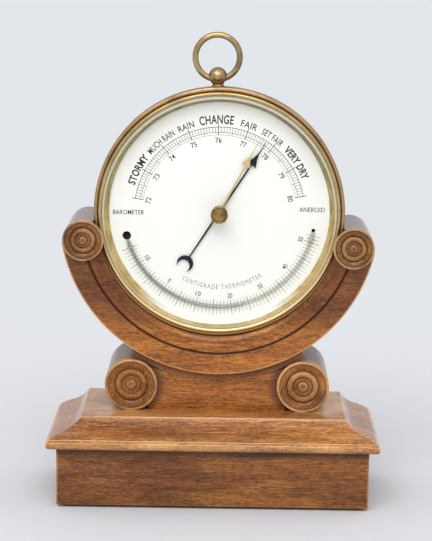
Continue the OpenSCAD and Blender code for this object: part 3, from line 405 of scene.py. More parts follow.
CORNER_R, FOOT_EASE, EDGE_EASE = 0.7, 0.7, 0.14
ease = np.linspace(0, np.pi / 2, 5)
side_rows = np.array([1.6, 3.5, 8.0, 15.0, 22.0, 27.0, 29.0])
insets = np.concatenate([EDGE_EASE * (1 - np.sin(ease)), 0 * side_rows, EDGE_EASE * (1 - np.cos(ease))])
heights = FELT_T + np.concatenate([
    FOOT_EASE * (1 - np.cos(ease)), side_rows, PLINTH_H - EDGE_EASE * (1 - np.sin(ease))])
block_layers = [(rounded_outline(
    inset - PLINTH_W / 2, PLINTH_W / 2 - inset, BLOCK_FRONT + inset, BACK_Y - inset, CORNER_R - inset), z)
    for inset, z in zip(insets, heights)]
# Painted shade on the block's top under the nosing, and a little painted highlight with wear on its edges.
plinth_wood = wood("plinth_wood", paint(168, 106, 48), paint(122, 72, 32), paint(68, 36, 16), gloss=0.5,
                   wear=0.35, streaks=0.9, under=(FELT_T + PLINTH_H - 5.5, FELT_T + PLINTH_H - 0.5, 0.75))
plinth_block = build("walnut_block", [stacked(block_layers)], plinth_wood)
edge_tone(plinth_block)
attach(plinth_block, "stand")
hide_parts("plinth_block")

# Plinth top: one board with a round nosing and an ogee run along the front and both
# sides, mitred by the cutter at the front corners and flush with the block behind.
NOSING_OVERHANG, NOSING_T, OGEE_W, OGEE_H = 5.3, 5.0, 17.3, 9.1
NOSING_Z = FELT_T + PLINTH_H
NOSING_TOP = NOSING_Z + NOSING_T
PLATE_Z = NOSING_TOP + OGEE_H


def arc_line(centre, radius, start, end, steps):
    """Points of a circle's arc between two angles in degrees."""
    a = np.radians(np.linspace(start, end, steps + 1))
    return np.column_stack([centre[0] + radius * np.cos(a), centre[1] + radius * np.sin(a)])


def bow_line(p, q, rise, steps):
    """Points from p to q on a parabola that stands rise away from the straight line at its middle."""
    p, q = np.asarray(p, float), np.asarray(q, float)
    t = np.linspace(0, 1, steps + 1)[:, None]
    along = (q - p) / np.linalg.norm(q - p)
    return p + (q - p) * t + 4 * rise * t * (1 - t) * np.array([-along[1], along[0]])


edge_profile = np.concatenate([
    [[0.6 * NOSING_T, NOSING_Z]],
    arc_line((NOSING_T / 2, NOSING_Z + NOSING_T / 2), NOSING_T / 2, 270, 110, 20),
    bow_line((0.075 * OGEE_W, NOSING_TOP - 0.1), (0.52 * OGEE_W, NOSING_TOP + 0.33 * OGEE_H), 0.42, 14),
    bow_line((0.55 * OGEE_W, NOSING_TOP + 0.36 * OGEE_H), (OGEE_W - 0.35, PLATE_Z - 0.25), -0.85, 18),
    arc_line((OGEE_W + 0.1, PLATE_Z - 0.45), 0.45, 150, 90, 4)])
top_half = PLINTH_W / 2 + NOSING_OVERHANG
top_layers = []
for x, z in edge_profile:
    outline = rounded_outline(x - top_half, top_half - x, BLOCK_FRONT - NOSING_OVERHANG + x, BACK_Y + 2, 0.25, 3)
    outline[:, 1] = np.minimum(outline[:, 1], BACK_Y)  # cut off flush at the back
    top_layers.append((outline, z))
# Polish worn off its edges with a painted highlight there, and painted shade in its hollows.
top_wood = wood("plinth_top_wood", paint(216, 150, 84), paint(156, 99, 52), paint(80, 44, 21),
                shift=(0.3, 0.1, 0.2), gloss=0.30)
plinth_top = build("moulded_top", [stacked(top_layers)], top_wood, sharp=40)
edge_tone(plinth_top)
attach(plinth_top, "stand")
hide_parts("plinth_top")

# Pedestal: a block between plinth and cradle, coved round both lower rolls with a horn
# over each, and hollowed on top to carry the cradle.
STAND_SHIFT, LOWER_ROLL_R, LOWER_ROLL_X, LOWER_ROLL_LEN, ROLL_FLAT = 1.6, 13.8, 45.0, 46.9, 0.4
PEDESTAL_FOOT_W, PEDESTAL_W, PEDESTAL_H, PEDESTAL_SETBACK, GLUE_GAP = 72.0, 88.0, 19.9, 2.5, 0.1
CRADLE_R = 82.5
CRADLE_Z = PLATE_Z + PEDESTAL_H + CRADLE_R
LOWER_ROLL_Z = PLATE_Z + LOWER_ROLL_R - ROLL_FLAT
cove_r, seat_r = LOWER_ROLL_R + GLUE_GAP, CRADLE_R + GLUE_GAP
foot_angle = -np.degrees(np.arccos((LOWER_ROLL_X - PEDESTAL_FOOT_W / 2) / cove_r))
horn_angle = np.degrees(np.arccos((LOWER_ROLL_X - PEDESTAL_W / 2) / cove_r))
cove = arc_line((-LOWER_ROLL_X, LOWER_ROLL_Z), cove_r, foot_angle, horn_angle, 28)
horn_top = CRADLE_Z - np.sqrt(seat_r ** 2 - (PEDESTAL_W / 2) ** 2)
left_side = np.concatenate([
    [[-PEDESTAL_FOOT_W / 2, PLATE_Z]], cove, [[-PEDESTAL_W / 2, horn_top]]])
across = np.linspace(1, -1, 41)
share = (left_side[:, 1] - PLATE_Z) / (horn_top - PLATE_Z)
face_x = left_side[:, :1] * across
seat_fall = horn_top - (CRADLE_Z - np.sqrt(seat_r ** 2 - (PEDESTAL_W / 2 * across) ** 2))
face_z = left_side[:, 1:] - share[:, None] * seat_fall
pedestal_front = BACK_Y - LOWER_ROLL_LEN + PEDESTAL_SETBACK


def slab(front, back):
    """A closed shell from two sheets with the same grid of points, with a wall all round between their rims."""
    front, back = np.asarray(front), np.asarray(back)
    rows, columns = front.shape[:2]
    faces = grid_faces(2 * rows, columns, close_rows=True).tolist()
    i = np.arange(rows - 1)
    for j in (0, columns - 1):
        faces += np.stack([i * columns + j, (i + 1) * columns + j, (2 * rows - 2 - i) * columns + j,
                           (2 * rows - 1 - i) * columns + j], axis=1).tolist()
    return np.concatenate([front, back[::-1]]), faces


def upright_sheet(x, y, z):
    """A sheet of points at depth y, moved over to the stand's middle."""
    return np.stack([x + STAND_SHIFT, np.full(x.shape, y), z], axis=-1)


# Its rings paint shade round both lower rolls and under the cradle's seat.
pedestal_wood = wood("pedestal_wood", paint(206, 132, 54), paint(165, 99, 33), paint(96, 50, 16),
                     shift=(0.5, 0.2, 0.1), gloss=0.38,
                     rings=[(STAND_SHIFT + LOWER_ROLL_X * side, LOWER_ROLL_Z, 19.5, 14.5, 900, 0.8)
                            for side in (-1, 1)]
                     + [(STAND_SHIFT, CRADLE_Z, CRADLE_R + 6.5, CRADLE_R, 900, 0.75)])
pedestal = build("coved_pedestal", [slab(
    upright_sheet(face_x, pedestal_front, face_z), upright_sheet(face_x, BACK_Y, face_z))], pedestal_wood, sharp=40)
eased = pedestal.modifiers.new("eased_edges", "BEVEL")
eased.width, eased.segments, eased.limit_method, eased.angle_limit = 0.0004, 2, "ANGLE", np.radians(50)
edge_tone(pedestal, reach=0)
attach(pedestal, "stand")
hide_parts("pedestal")

# Lower rolls: two turned cylinders of beech, planed flat underneath and glued to the
# plinth. Each front face is turned with a rim bead, a cove, a ring bead and a button.
ROLL_FACE_H = 2.4


def roll_profile(r, length):
    """Half section of a roll, as (radius, height) from the middle of its back to the middle of its button."""
    h = ROLL_FACE_H
    return np.concatenate([
        [[0, 0], [0.1 * r, 0], [0.5 * r, 0], [0.9 * r, 0], [0.97 * r, 0], [r, 0.03 * r], [r, 0.12 * r]],
        np.column_stack([np.full(4, r), np.linspace(0.2, 0.85, 4) * length]), [[r, length - 0.17 * r]],
        arc_line((0.945 * r, length - 0.055 * r), 0.055 * r, 0, 180, 14),
        bow_line((0.87 * r, length - 0.36 * h), (0.62 * r, length - 0.86 * h), -0.14 * h, 14),
        arc_line((0.485 * r, length - 0.42 * h - 0.085 * r), 0.115 * r, 12, 168, 18),
        bow_line((0.355 * r, length - 0.95 * h), (0.215 * r, length - 0.95 * h), -0.05 * h, 6),
        arc_line((0.105 * r, length - 0.32 * h - 0.09 * r), 0.09 * r, 0, 110, 10),
        [[0.045 * r, length - 0.36 * h], [0.02 * r, length - 0.42 * h], [0, length - 0.43 * h]]])


def facing_front(points, x, z, back=BACK_Y):
    """Turns points from lying along z to lying along the depth of the stand, their top towards the front."""
    return np.stack([points[..., 0] + x + STAND_SHIFT, back - points[..., 2], points[..., 1] + z], axis=-1)


def roll_wood(name, shift, level, front, coat):
    """Beech cut with its end grain on the turned face, which takes up more stain. level scales its colours,
    and the barrel behind its front is darker, as painted shade."""
    tones = [paint(*(level * np.array(tone))) for tone in ((196, 130, 68), (152, 95, 46), (80, 43, 19))]
    return wood(name, *tones, grain=(0, 0, np.pi / 2), shift=shift, gloss=0.30,
                behind=(front + 2, front + 10, 0.8), coat=coat)


ROLL_TURNS, FREE_REACH = 120, 1e3
turn_angles = np.linspace(0, 2 * np.pi, ROLL_TURNS, endpoint=False)
flat_reach = np.full(ROLL_TURNS, FREE_REACH)
below = np.sin(turn_angles) < -0.2
flat_reach[below] = (LOWER_ROLL_R - ROLL_FLAT) / -np.sin(turn_angles[below])
for side, place, tone in (("left", -LOWER_ROLL_X, 0.96), ("right", LOWER_ROLL_X, 0.88)):
    points, faces = turned(roll_profile(LOWER_ROLL_R, LOWER_ROLL_LEN), reach=flat_reach[None, :])
    roll = build("lower_scroll_" + side, [(facing_front(points, place, LOWER_ROLL_Z), faces)],
                 roll_wood("lower_scroll_wood_" + side, (0.013, place * 0.004, 0.07), tone,
                           BACK_Y - LOWER_ROLL_LEN, 0.5), sharp=40)
    edge_tone(roll)
    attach(roll, "stand")
    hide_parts("lower_roll_" + side)

# Cradle: a half ring of beech sawn from a thick board, its grain level across the front.
# Flat band outside, a V groove, a rounded moulding falling to the case, and a lip that
# keeps the case from coming out forwards. Its ends are hollowed to take the upper rolls.
DIAL_SETBACK, BAND_W, GROOVE_W, GROOVE_DEPTH, OVOLO_DROP, LIP_T, CASE_RISE = 8.5, 10.5, 1.2, 1.3, 2.5, 1.8, 2.1
DRUM_R, DRUM_WALL, COLLAR_STEP, RIM_BEAD_R, SLIP = 64.9, 1.0, 3.4, 1.1, 0.2
BODY_R, STEP_Z = DRUM_R - COLLAR_STEP, -5.3
UPPER_ROLL_R, UPPER_ROLL_LEN, UPPER_ROLL_DIST, LEFT_DROP, RIGHT_DROP = 10.7, 49.5, 71.3, 10.0, 12.0
RIM_R = DRUM_R - DRUM_WALL
BEZEL_R = RIM_R - RIM_BEAD_R - SLIP
LIP_R, BORE_R = BEZEL_R + SLIP, RIM_R + RIM_BEAD_R + SLIP
WOOD_BACK = -BACK_Y
LIP_BACK = DIAL_SETBACK - OVOLO_DROP - LIP_T


def bore_reach(angle, r):
    """Distance from the cradle's centre to a bore of radius r, whose own centre lies higher by the case's rise."""
    return CASE_RISE * np.sin(angle) + np.sqrt(r ** 2 - (CASE_RISE * np.cos(angle)) ** 2)


groove_in = CRADLE_R - BAND_W - GROOVE_W
ovolo = np.linspace(0, np.pi / 2, 22)
front_line = np.concatenate([
    np.column_stack([groove_in - (groove_in - LIP_R) * np.sin(ovolo),
                     DIAL_SETBACK - OVOLO_DROP * (1 - np.cos(ovolo))])[::-1],
    [[groove_in + 0.12, DIAL_SETBACK - 0.25]],
    bow_line((groove_in + 0.25, DIAL_SETBACK - GROOVE_DEPTH + 0.15),
             (CRADLE_R - BAND_W - 0.25, DIAL_SETBACK - GROOVE_DEPTH + 0.15), -0.15, 5),
    [[CRADLE_R - BAND_W - 0.1, DIAL_SETBACK - 0.2], [CRADLE_R - BAND_W + 0.12, DIAL_SETBACK - 0.02]],
    [[CRADLE_R - k * BAND_W, DIAL_SETBACK] for k in (0.8, 0.6, 0.4, 0.2, 0.09)],
    arc_line((CRADLE_R - 0.6, DIAL_SETBACK - 0.6), 0.6, 90, 0, 6)])
along = np.linspace(0, 1, 181)


def round_cradle(radius):
    """The angles round the cradle at a radius, from the left upper roll's surface to the right one's."""
    inside = (radius ** 2 + UPPER_ROLL_DIST ** 2 - (UPPER_ROLL_R + GLUE_GAP) ** 2) / (2 * radius * UPPER_ROLL_DIST)
    spread = np.arccos(np.clip(inside, -1, 1))
    first, last = np.radians(180 + LEFT_DROP) + spread, np.radians(360 - RIGHT_DROP) - spread
    return first + (last - first) * along


angle = round_cradle(front_line[:, :1])


def in_cradle(radius, angle, height):
    """From polar places about the cradle's centre to the stand's frame."""
    return np.stack([radius * np.cos(angle) + STAND_SHIFT, -height, radius * np.sin(angle) + CRADLE_Z], axis=-1)


# The back sheet steps from the lip to the groove for the drum's collar and on to the narrower bore for its
# body. All these rows lie behind one row of the front, the first outside the bore.
groove_row = int(np.argmax(front_line[:, 0] > BORE_R))
collar, body = round_cradle(BORE_R), round_cradle(BODY_R + SLIP)
groove_rows = [in_cradle(bore_reach(turn, r), turn, np.full(181, height)) for turn, r, height in (
    (collar, BORE_R, LIP_BACK), (collar, BORE_R, STEP_Z - SLIP), (body, BODY_R + SLIP, STEP_Z - SLIP),
    (body, BODY_R + SLIP, WOOD_BACK))]
front_rows = [in_cradle(r, turn, np.full(181, height)) for (r, height), turn in zip(front_line, angle)]
back_rows = [in_cradle(r, turn, np.full(181, LIP_BACK if k < groove_row else WOOD_BACK))
             for k, ((r, height), turn) in enumerate(zip(front_line, angle))]
back_rows[groove_row:groove_row] = groove_rows
front_rows[groove_row:groove_row] = [front_rows[groove_row]] * len(groove_rows)
# Painted shade in the groove, a painted dark line on the moulding beside it and painted shade at the bore; a painted
# highlight with wear on the outer front corner, and painted shade on the outer side and up the ends.
cradle_wood = wood("cradle_wood", paint(218, 142, 60), paint(170, 102, 37), paint(94, 46, 16),
                   shift=(0.7, 0.4, 0.3), gloss=0.36,
                   rings=[(STAND_SHIFT, CRADLE_Z, *ring) for ring in (
                       (groove_in - 0.6, groove_in + 0.4, groove_in + 1.7, 0.8),
                       (groove_in - 3.9, groove_in - 3.0, groove_in - 1.9, 0.25),
                       (BORE_R - 0.5, BORE_R + 0.2, BORE_R + 1.4, 0.35))],
                   ends=(STAND_SHIFT, CRADLE_Z, CRADLE_R, 102, -DIAL_SETBACK), wear=0.0)
cradle = build("half_ring_cradle", [slab(front_rows, back_rows)], cradle_wood, sharp=40)
edge_tone(cradle)
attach(cradle, "stand")
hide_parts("cradle")

# Upper rolls: two smaller turnings at the cradle's ends, cut away where the case's bore
# passes, so that only their faces reach over the brass rim. Dowelled to the cradle.
STEP_ROW = 10
for side, degrees in (("left", 180 + LEFT_DROP), ("right", -RIGHT_DROP)):
    cx = UPPER_ROLL_DIST * np.cos(np.radians(degrees))
    cz = UPPER_ROLL_DIST * np.sin(np.radians(degrees))
    profile = roll_profile(UPPER_ROLL_R, UPPER_ROLL_LEN)
    steps = np.repeat([STEP_Z - SLIP - WOOD_BACK, DIAL_SETBACK - WOOD_BACK], 2)
    profile = np.concatenate([profile[:STEP_ROW], [[UPPER_ROLL_R, step] for step in steps], profile[STEP_ROW + 1:]])
    reach = np.full((len(profile), ROLL_TURNS), FREE_REACH)
    toward = (cx * np.cos(turn_angles) + (cz - CASE_RISE) * np.sin(turn_angles))
    for rows, bore_r in ((slice(0, STEP_ROW + 1), BODY_R + SLIP), (slice(STEP_ROW + 1, STEP_ROW + 3), BORE_R)):
        clear = cx ** 2 + (cz - CASE_RISE) ** 2 - bore_r ** 2
        meets = (toward ** 2 > clear) & (toward < 0)
        reach[rows] = np.where(meets, -toward - np.sqrt(np.maximum(toward ** 2 - clear, 0)), FREE_REACH)
    points, faces = turned(profile, reach=reach)
    roll = build("upper_scroll_" + side, [(facing_front(points, cx, CRADLE_Z + cz), faces)],
                 roll_wood("upper_scroll_wood_" + side, (0.02, degrees * 0.001, 0.11), 0.78,
                           BACK_Y - UPPER_ROLL_LEN, 0.85), sharp=40)
    edge_tone(roll)
    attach(roll, "stand")
    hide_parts("upper_roll_" + side)

# Dowels and screws that hold the wood together: plain beech pins in glue, and steel
# cheese-head screws driven up from below.
f = Finish("pin_beech")
pin_grain = f.noise(f.object_place((900, 900, 60)), 1, 3, 0.6)
pin_beech = f.surface(
    Base_Color=f.mix(pin_grain, paint(205, 170, 125), paint(172, 132, 92)), Roughness=0.7 + pin_grain * 0.1,
    Specular_IOR_Level=0.3, Normal=f.bump(pin_grain, 0.3, 0.0001))


def metal(name, bright, dull, speck, smooth=0.25, patina=0.5, polish=1.0, scale=1.0, brushed=0.0, silhouette_shade=0.0,
          base=None):
    """Solid metal: an even colour that has dulled in soft clouds, with small dark specks of tarnish, both as
    strong as patina, and fine scratches, deeper where it is brushed. smooth is its least roughness, polish the
    metallic share where it is clean, and scale shrinks the pattern. silhouette_shade darkens faces that turn
    away from the view, as painted shade. base is (low, high, colour): a painted reflection, below the height
    low in mm the metal has that colour, above high its own."""
    f = Finish(name)
    place = f.object_place((scale, scale, scale))
    clouds = f.noise(place, 55, 4, 0.6, 0.3)
    specks = f.noise(place, 620, 3, 0.65)
    scratches = f.noise(f.object_place((260 * scale, 2600 * scale, 900 * scale), (0.3, 0.5, 0.4)), 1, 2, 0.6)
    tarnish = f.step(clouds + specks * 0.25, 0.5, 0.85) * patina
    spots = f.step(specks, 0.62, 0.75) * patina
    colour = f.mix(spots * 0.8, f.mix(tarnish, bright, dull), speck)
    # Painted shade: faces that turn away from the view darken towards the speck colour.
    if silhouette_shade:
        colour = f.mix(f.step(f.node("LayerWeight", {"Blend": 0.5}, "Facing"), 0.25, 0.85) * silhouette_shade, colour, speck)
    # Painted reflection: below a height the metal takes a lighter colour.
    if base:
        colour = f.mix(f.step(f.along("Z") + clouds * 10, base[0], base[1]), base[2], colour)
    return f.surface(
        Base_Color=colour, Metallic=polish - tarnish * 0.3 - spots * 0.4,
        Roughness=smooth + tarnish * 0.25 + scratches * (0.08 + brushed) + spots * 0.2,
        Normal=f.bump(scratches * 0.5 + specks * 0.5, 0.18 + brushed, 0.00003))


dress(pin_beech, "lower_roll_dowels", "cradle_dowels", "upper_roll_dowels")
bright_steel = metal("bright_steel", paint(196, 197, 200), paint(140, 140, 142), paint(80, 72, 64), 0.28, 0.5)
dress(bright_steel, "plinth_screws", "pedestal_screws", "case_screws")

# Case drum: spun in brass, lacquered and gone brown. A collar in front holds the dial and is
# rolled over into a bead that bears against the cradle's lip; a narrower body lies behind it.
CASE_TURN, CASE_Z = np.radians(1.5), CRADLE_Z + CASE_RISE
CASE_BACK_INSET = 1.5
CASE_BACK_Z = WOOD_BACK + CASE_BACK_INSET
RIM_Z = LIP_BACK - SLIP - RIM_BEAD_R


def in_case(points):
    """From the case's own frame (right, up, towards the viewer, its centre on the dial's face) to the stand's."""
    x, y, z = points[..., 0], points[..., 1], points[..., 2]
    return np.stack([x * np.cos(CASE_TURN) - y * np.sin(CASE_TURN) + STAND_SHIFT, -z,
                     x * np.sin(CASE_TURN) + y * np.cos(CASE_TURN) + CASE_Z], axis=-1)


def hoop(profile):
    """A closed profile of (radius, height) carried round the case's axis, as a closed shell."""
    points, faces = turned(profile, 240, closed=True)
    return in_case(points), faces


rim_join = np.sqrt(RIM_BEAD_R ** 2 - DRUM_WALL ** 2)
drum_profile = np.concatenate([
    [[BODY_R - 0.2, CASE_BACK_Z], [BODY_R, CASE_BACK_Z + 0.2], [BODY_R, STEP_Z], [DRUM_R - 0.3, STEP_Z],
     [DRUM_R, STEP_Z + 0.3], [DRUM_R, RIM_Z - rim_join]],
    arc_line((RIM_R, RIM_Z), RIM_BEAD_R, -np.degrees(np.arcsin(rim_join / RIM_BEAD_R)) + 3, 268, 26),
    [[RIM_R, STEP_Z + DRUM_WALL], [BODY_R - DRUM_WALL, STEP_Z + DRUM_WALL], [BODY_R - DRUM_WALL, CASE_BACK_Z]]])
# Painted shade on faces that turn away, and a lighter gold below 110 mm as a painted reflection.
brown_brass = metal("browned_brass", paint(192, 158, 118), paint(150, 112, 76), paint(62, 42, 26), 0.3, 0.8, silhouette_shade=0.55,
                    base=(110, 140, paint(190, 158, 106)))
drum = build("spun_drum", [hoop(drum_profile)], brown_brass, sharp=40)
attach(drum, "stand")
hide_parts("case_drum")
back_brass = metal("back_brass", paint(190, 152, 96), paint(142, 106, 64), paint(80, 58, 38), 0.32, 0.7,
                   brushed=0.1)
dress(back_brass, "case_back")

# The movement behind the dial: a nickelled capsule under a blued leaf spring, and its
# lever, shaft, chain and arbor in brass and steel. The photograph doesn't show it.
inner_brass = metal("inner_brass", paint(212, 176, 108), paint(176, 138, 80), paint(120, 92, 56), 0.3, 0.3,
                    brushed=0.1)
dress(inner_brass, "dial_plate", "dial_seat", "movement_plate", "movement_pillars", "arbor_bridge", "chain_drum",
      "hand_collet", "pendant_nut")
dress(bright_steel, "dial_screws", "hand_arbor", "hairspring_stud", "bridge_screws", "chain", "rocking_shaft",
      "shaft_posts", "pivot_screws", "link_wire", "main_lever", "spring_bridge", "spring_bridge_screws",
      "capsule_nut", "movement_spacers", "movement_screws", "adjusting_screw")
spring_blue = metal("spring_blue", paint(52, 62, 96), paint(34, 40, 62), paint(20, 22, 30), 0.3, 0.3, 0.8)
dress(spring_blue, "main_spring", "hairspring")
capsule_metal = metal("nickelled_skin", paint(206, 200, 184), paint(170, 160, 138), paint(120, 108, 90), 0.24, 0.3)
dress(capsule_metal, "capsule")

# Dial: a white enamelled disc printed in black with the pressure scale in centimetres of
# mercury, weather words over it, and a thermometer scale in degrees Celsius below.
BEZEL_WALL = 1.6
GLASS_R = BEZEL_R - BEZEL_WALL - SLIP
f = Finish("white_enamel")
mottle = f.noise(f.object_place(), 240, 4, 0.6)
# Painted shadow of the bezel: the dial is greyed near its edge in its upper part.
bezel_shadow = f.step(f.from_middle(STAND_SHIFT, CASE_Z), 45, 57.5) * f.step(f.along("Z"), 150, 195)
enamel = f.surface(
    Base_Color=f.mix(bezel_shadow * 0.9, f.mix(mottle, paint(248, 249, 245), paint(244, 245, 240)),
                     paint(226, 224, 216)), Roughness=0.42 + mottle * 0.1,
    Specular_IOR_Level=0.35, Normal=f.bump(mottle, 0.06, 0.00003))
dress(enamel, "dial")


def ink(name, dark, light):
    """Printer's ink that has worn unevenly between two shades."""
    f = Finish(name)
    wear = f.noise(f.object_place(), 1500, 2, 0.6)
    return f.surface(Base_Color=f.mix(wear, dark, light), Roughness=0.6 + wear * 0.2, Specular_IOR_Level=0.2)


printing_ink = ink("printing_ink", paint(24, 25, 30), paint(66, 66, 70))
faded_ink = ink("faded_ink", paint(112, 108, 102), paint(168, 164, 158))
INK_LOW, INK_HIGH = -0.02, 0.035


def ring_line(radius, width, first, last, steps=240):
    """A printed arc: a band of that width about a radius, between two angles in degrees."""
    a = np.radians(np.linspace(first, last, steps))
    sheets = []
    for z in (INK_HIGH, INK_LOW):
        r = np.array([radius - width / 2, radius + width / 2])[:, None]
        sheets.append(in_case(np.stack([r * np.cos(a), r * np.sin(a), np.full((2, steps), z)], axis=-1)))
    return slab(*sheets)


def radial_ticks(angles, inner, outer, width):
    """Printed strokes along the radius: a thin block for each angle, all worked out together."""
    a = np.radians(np.asarray(angles, float))[:, None]
    count = len(a)
    along = np.array([inner, outer, outer, inner] * 2) * np.ones((count, 8))
    aside = np.array([-0.5, -0.5, 0.5, 0.5] * 2) * width
    z = np.array([INK_LOW] * 4 + [INK_HIGH] * 4) * np.ones((count, 8))
    points = np.stack([along * np.cos(a) - aside * np.sin(a), along * np.sin(a) + aside * np.cos(a), z], axis=-1)
    block = np.array([[0, 3, 2, 1], [4, 5, 6, 7], [0, 1, 5, 4], [1, 2, 6, 5], [2, 3, 7, 6], [3, 0, 4, 7]])
    faces = (block[None] + 8 * np.arange(count)[:, None, None]).reshape(-1, 4)
    return in_case(points), faces.tolist()


def letters(text, height, width, weight=0.0, gap=1.0):
    """Block letters of that height and overall width in mm as (points, faces), centred on x, standing on y 0.
    weight thickens their strokes, and gap is the space between them as a share of the font's own."""
    curve = bpy.data.curves.new("letters", "FONT")
    curve.body, curve.size, curve.offset, curve.extrude = text, 1.0, weight, 0.01
    curve.resolution_u, curve.space_character = 3, gap
    flat = bpy.data.objects.new("letters", curve)
    bpy.context.scene.collection.objects.link(flat)
    mesh = bpy.data.meshes.new_from_object(flat.evaluated_get(bpy.context.evaluated_depsgraph_get()))
    points = read(mesh.vertices, "co")
    faces = [list(face.vertices) for face in mesh.polygons]
    bpy.data.objects.remove(flat)
    bpy.data.meshes.remove(mesh)
    bpy.data.curves.remove(curve)
    capital = 0.729  # height of a capital letter in the font's own units
    left, right = points[:, 0].min(), points[:, 0].max()
    points = (points - [(left + right) / 2, 0, 0]) * [width / (right - left), height / capital, 1]
    points[:, 2] = np.where(points[:, 2] > 0, INK_HIGH, INK_LOW)
    return points, faces


def round_arc(shell, radius, middle, inward=False):
    """Letters bent round the dial: x runs along the arc at that radius from its middle angle in degrees, and y
    outwards, or for inward letters towards the centre."""
    points, faces = shell
    turn = -1 if inward else 1
    a = np.radians(middle) - turn * points[:, 0] / radius
    r = radius + turn * points[:, 1]
    return in_case(np.column_stack([r * np.cos(a), r * np.sin(a), points[:, 2]])), faces


def pressure_angle(pressure):
    """Angle on the dial for a pressure in centimetres: 20 degrees to each, clockwise from 76 at the top."""
    return 90 - 20 * (pressure - 76)


def temperature_angle(degrees):
    """Angle on the dial for a temperature in degrees Celsius: 2.14 degrees to each, anticlockwise."""
    return 276.3 + 2.14 * (degrees - 20)


SCALE_LOW, SCALE_HIGH = 72, 80
SCALE_OUTER_R, SCALE_INNER_R, SCALE_FOOT_R = 44.2, 41.4, 40.1
print_shells = [
    ring_line(radius, width, pressure_angle(SCALE_HIGH), pressure_angle(SCALE_LOW))
    for radius, width in ((SCALE_OUTER_R, 0.28), (SCALE_INNER_R, 0.2), (SCALE_FOOT_R, 0.14))]
tenths = np.arange(SCALE_LOW * 10, SCALE_HIGH * 10 + 1) / 10
for every, inner, outer, width in ((1, SCALE_INNER_R, SCALE_OUTER_R, 0.2), (5, SCALE_FOOT_R, SCALE_OUTER_R, 0.2),
                                   (10, 39.9, 45.7, 0.36)):
    print_shells.append(radial_ticks(pressure_angle(tenths[::every]), inner, outer, width))
NUMBER_R, WEATHER_R, DEGREE_R, THERMOMETER_WORDS_R = 36.0, 46.0, 45.8, 40.8
for number in range(SCALE_LOW, SCALE_HIGH + 1):
    print_shells.append(round_arc(letters(str(number), 2.9, 3.1, 0.006), NUMBER_R, pressure_angle(number)))
WEATHER = [("STORMY", 72.42, 73.43, 4.0, 0.030), ("MUCH RAIN", 73.56, 74.56, 3.5, 0.010),
           ("RAIN", 74.72, 75.24, 3.5, 0.010), ("CHANGE", 75.42, 76.48, 4.6, 0.020),
           ("FAIR", 76.72, 77.24, 3.5, 0.010), ("SET FAIR", 77.43, 78.17, 3.5, 0.010),
           ("VERY DRY", 78.33, 79.47, 4.0, 0.030)]
for text, first, last, height, weight in WEATHER:
    width = WEATHER_R * np.radians(pressure_angle(first) - pressure_angle(last))
    print_shells.append(round_arc(letters(text, height, width, weight, 1.05), WEATHER_R,
                                  pressure_angle((first + last) / 2)))
warm = np.arange(-15, 53)
thermometer_shells = [radial_ticks(temperature_angle(warm), 46.9, 54.0, 0.2),
                      radial_ticks(temperature_angle(warm[::5]), 46.2, 54.8, 0.26)]
for degrees in range(-10, 51, 10):
    print_shells.append(round_arc(letters(str(abs(degrees)), 2.6, 1.3 if degrees == 0 else 2.7, 0.006), DEGREE_R,
                                  temperature_angle(degrees), True))
thermometer_shells.append(round_arc(
    letters("CENTIGRADE THERMOMETER", 2.6, 44.0, 0.0, 1.3), THERMOMETER_WORDS_R, 271.5, True))


def at_angle(shell, degrees, right=0.0, up=0.0):
    """Turns a shell by an angle about the case's axis, moves it, and places it in the case."""
    points, faces = shell
    a = np.radians(degrees)
    x, y = points[..., 0], points[..., 1]
    return in_case(np.stack([x * np.cos(a) - y * np.sin(a) + right, x * np.sin(a) + y * np.cos(a) + up,
                             points[..., 2]], axis=-1)), faces


for text, width, right, up in (("BAROMETER", 16.2, -47.2, -0.7), ("ANEROID", 13.2, 48.0, -0.6)):
    print_shells.append(at_angle(letters(text, 2.5, width, 0.004), -np.degrees(CASE_TURN), right, up))
dial_print = build("dial_print", print_shells, printing_ink, merge=False, smooth=False)
fine_print = build("thermometer_print", thermometer_shells, faded_ink, merge=False, smooth=False)
for printed in (dial_print, fine_print):
    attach(printed, "stand")

# Dial ring: a tapered brass ring between dial and glass, its slope gone olive. Its colour is painted by
# height as light falls on it: olive and darker at the top, partly painted shade, gold lower down, and white
# at the bottom as a painted reflection of the dial.
f = Finish("olive_brass")
film = f.noise(f.object_place(), 130, 4, 0.6)
height = f.along("Z")
tone = f.mix(f.step(height, 130, 200), f.mix(f.step(film, 0.4, 0.65), paint(206, 180, 118), paint(168, 140, 80)),
             f.mix(f.step(film, 0.35, 0.7), paint(138, 136, 92), paint(104, 102, 62)))
# White at the bottom is a painted reflection of the dial, and the olive top is partly painted shade.
olive = f.surface(
    Base_Color=f.mix(f.step(height, 96, 112), paint(244, 242, 232), tone), Metallic=f.step(height, 100, 130) * 0.5,
    Roughness=0.34 + film * 0.15, Normal=f.bump(film, 0.1, 0.00003))
DIAL_SHOW_R, RING_TAPER, GLASS_GAP = 57.2, 1.4, 3.5
dial_ring = build("tapered_ring", [hoop(np.array([
    [DIAL_SHOW_R, 0.04], [DIAL_SHOW_R + 0.1, 0.0], [GLASS_R, 0.0], [GLASS_R, GLASS_GAP],
    [DIAL_SHOW_R + RING_TAPER + 0.15, GLASS_GAP], [DIAL_SHOW_R + RING_TAPER, GLASS_GAP - 0.1]]))], olive, sharp=25)
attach(dial_ring, "stand")
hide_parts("dial_ring")

# Thermometer: a thin glass tube bent round the lower half of the dial. One end turns back
# through a hole in the dial to its bulb; two brass straps hold it down.
BULB_ANGLE, TIP_ANGLE, TUBE_ARC_R = 193.7, 348.0, 49.8
TUBE_R, TUBE_Z, BULB_Z, BULB_R, ELBOW_Z = 1.3, 1.4, -6.3, 2.1, 0.15


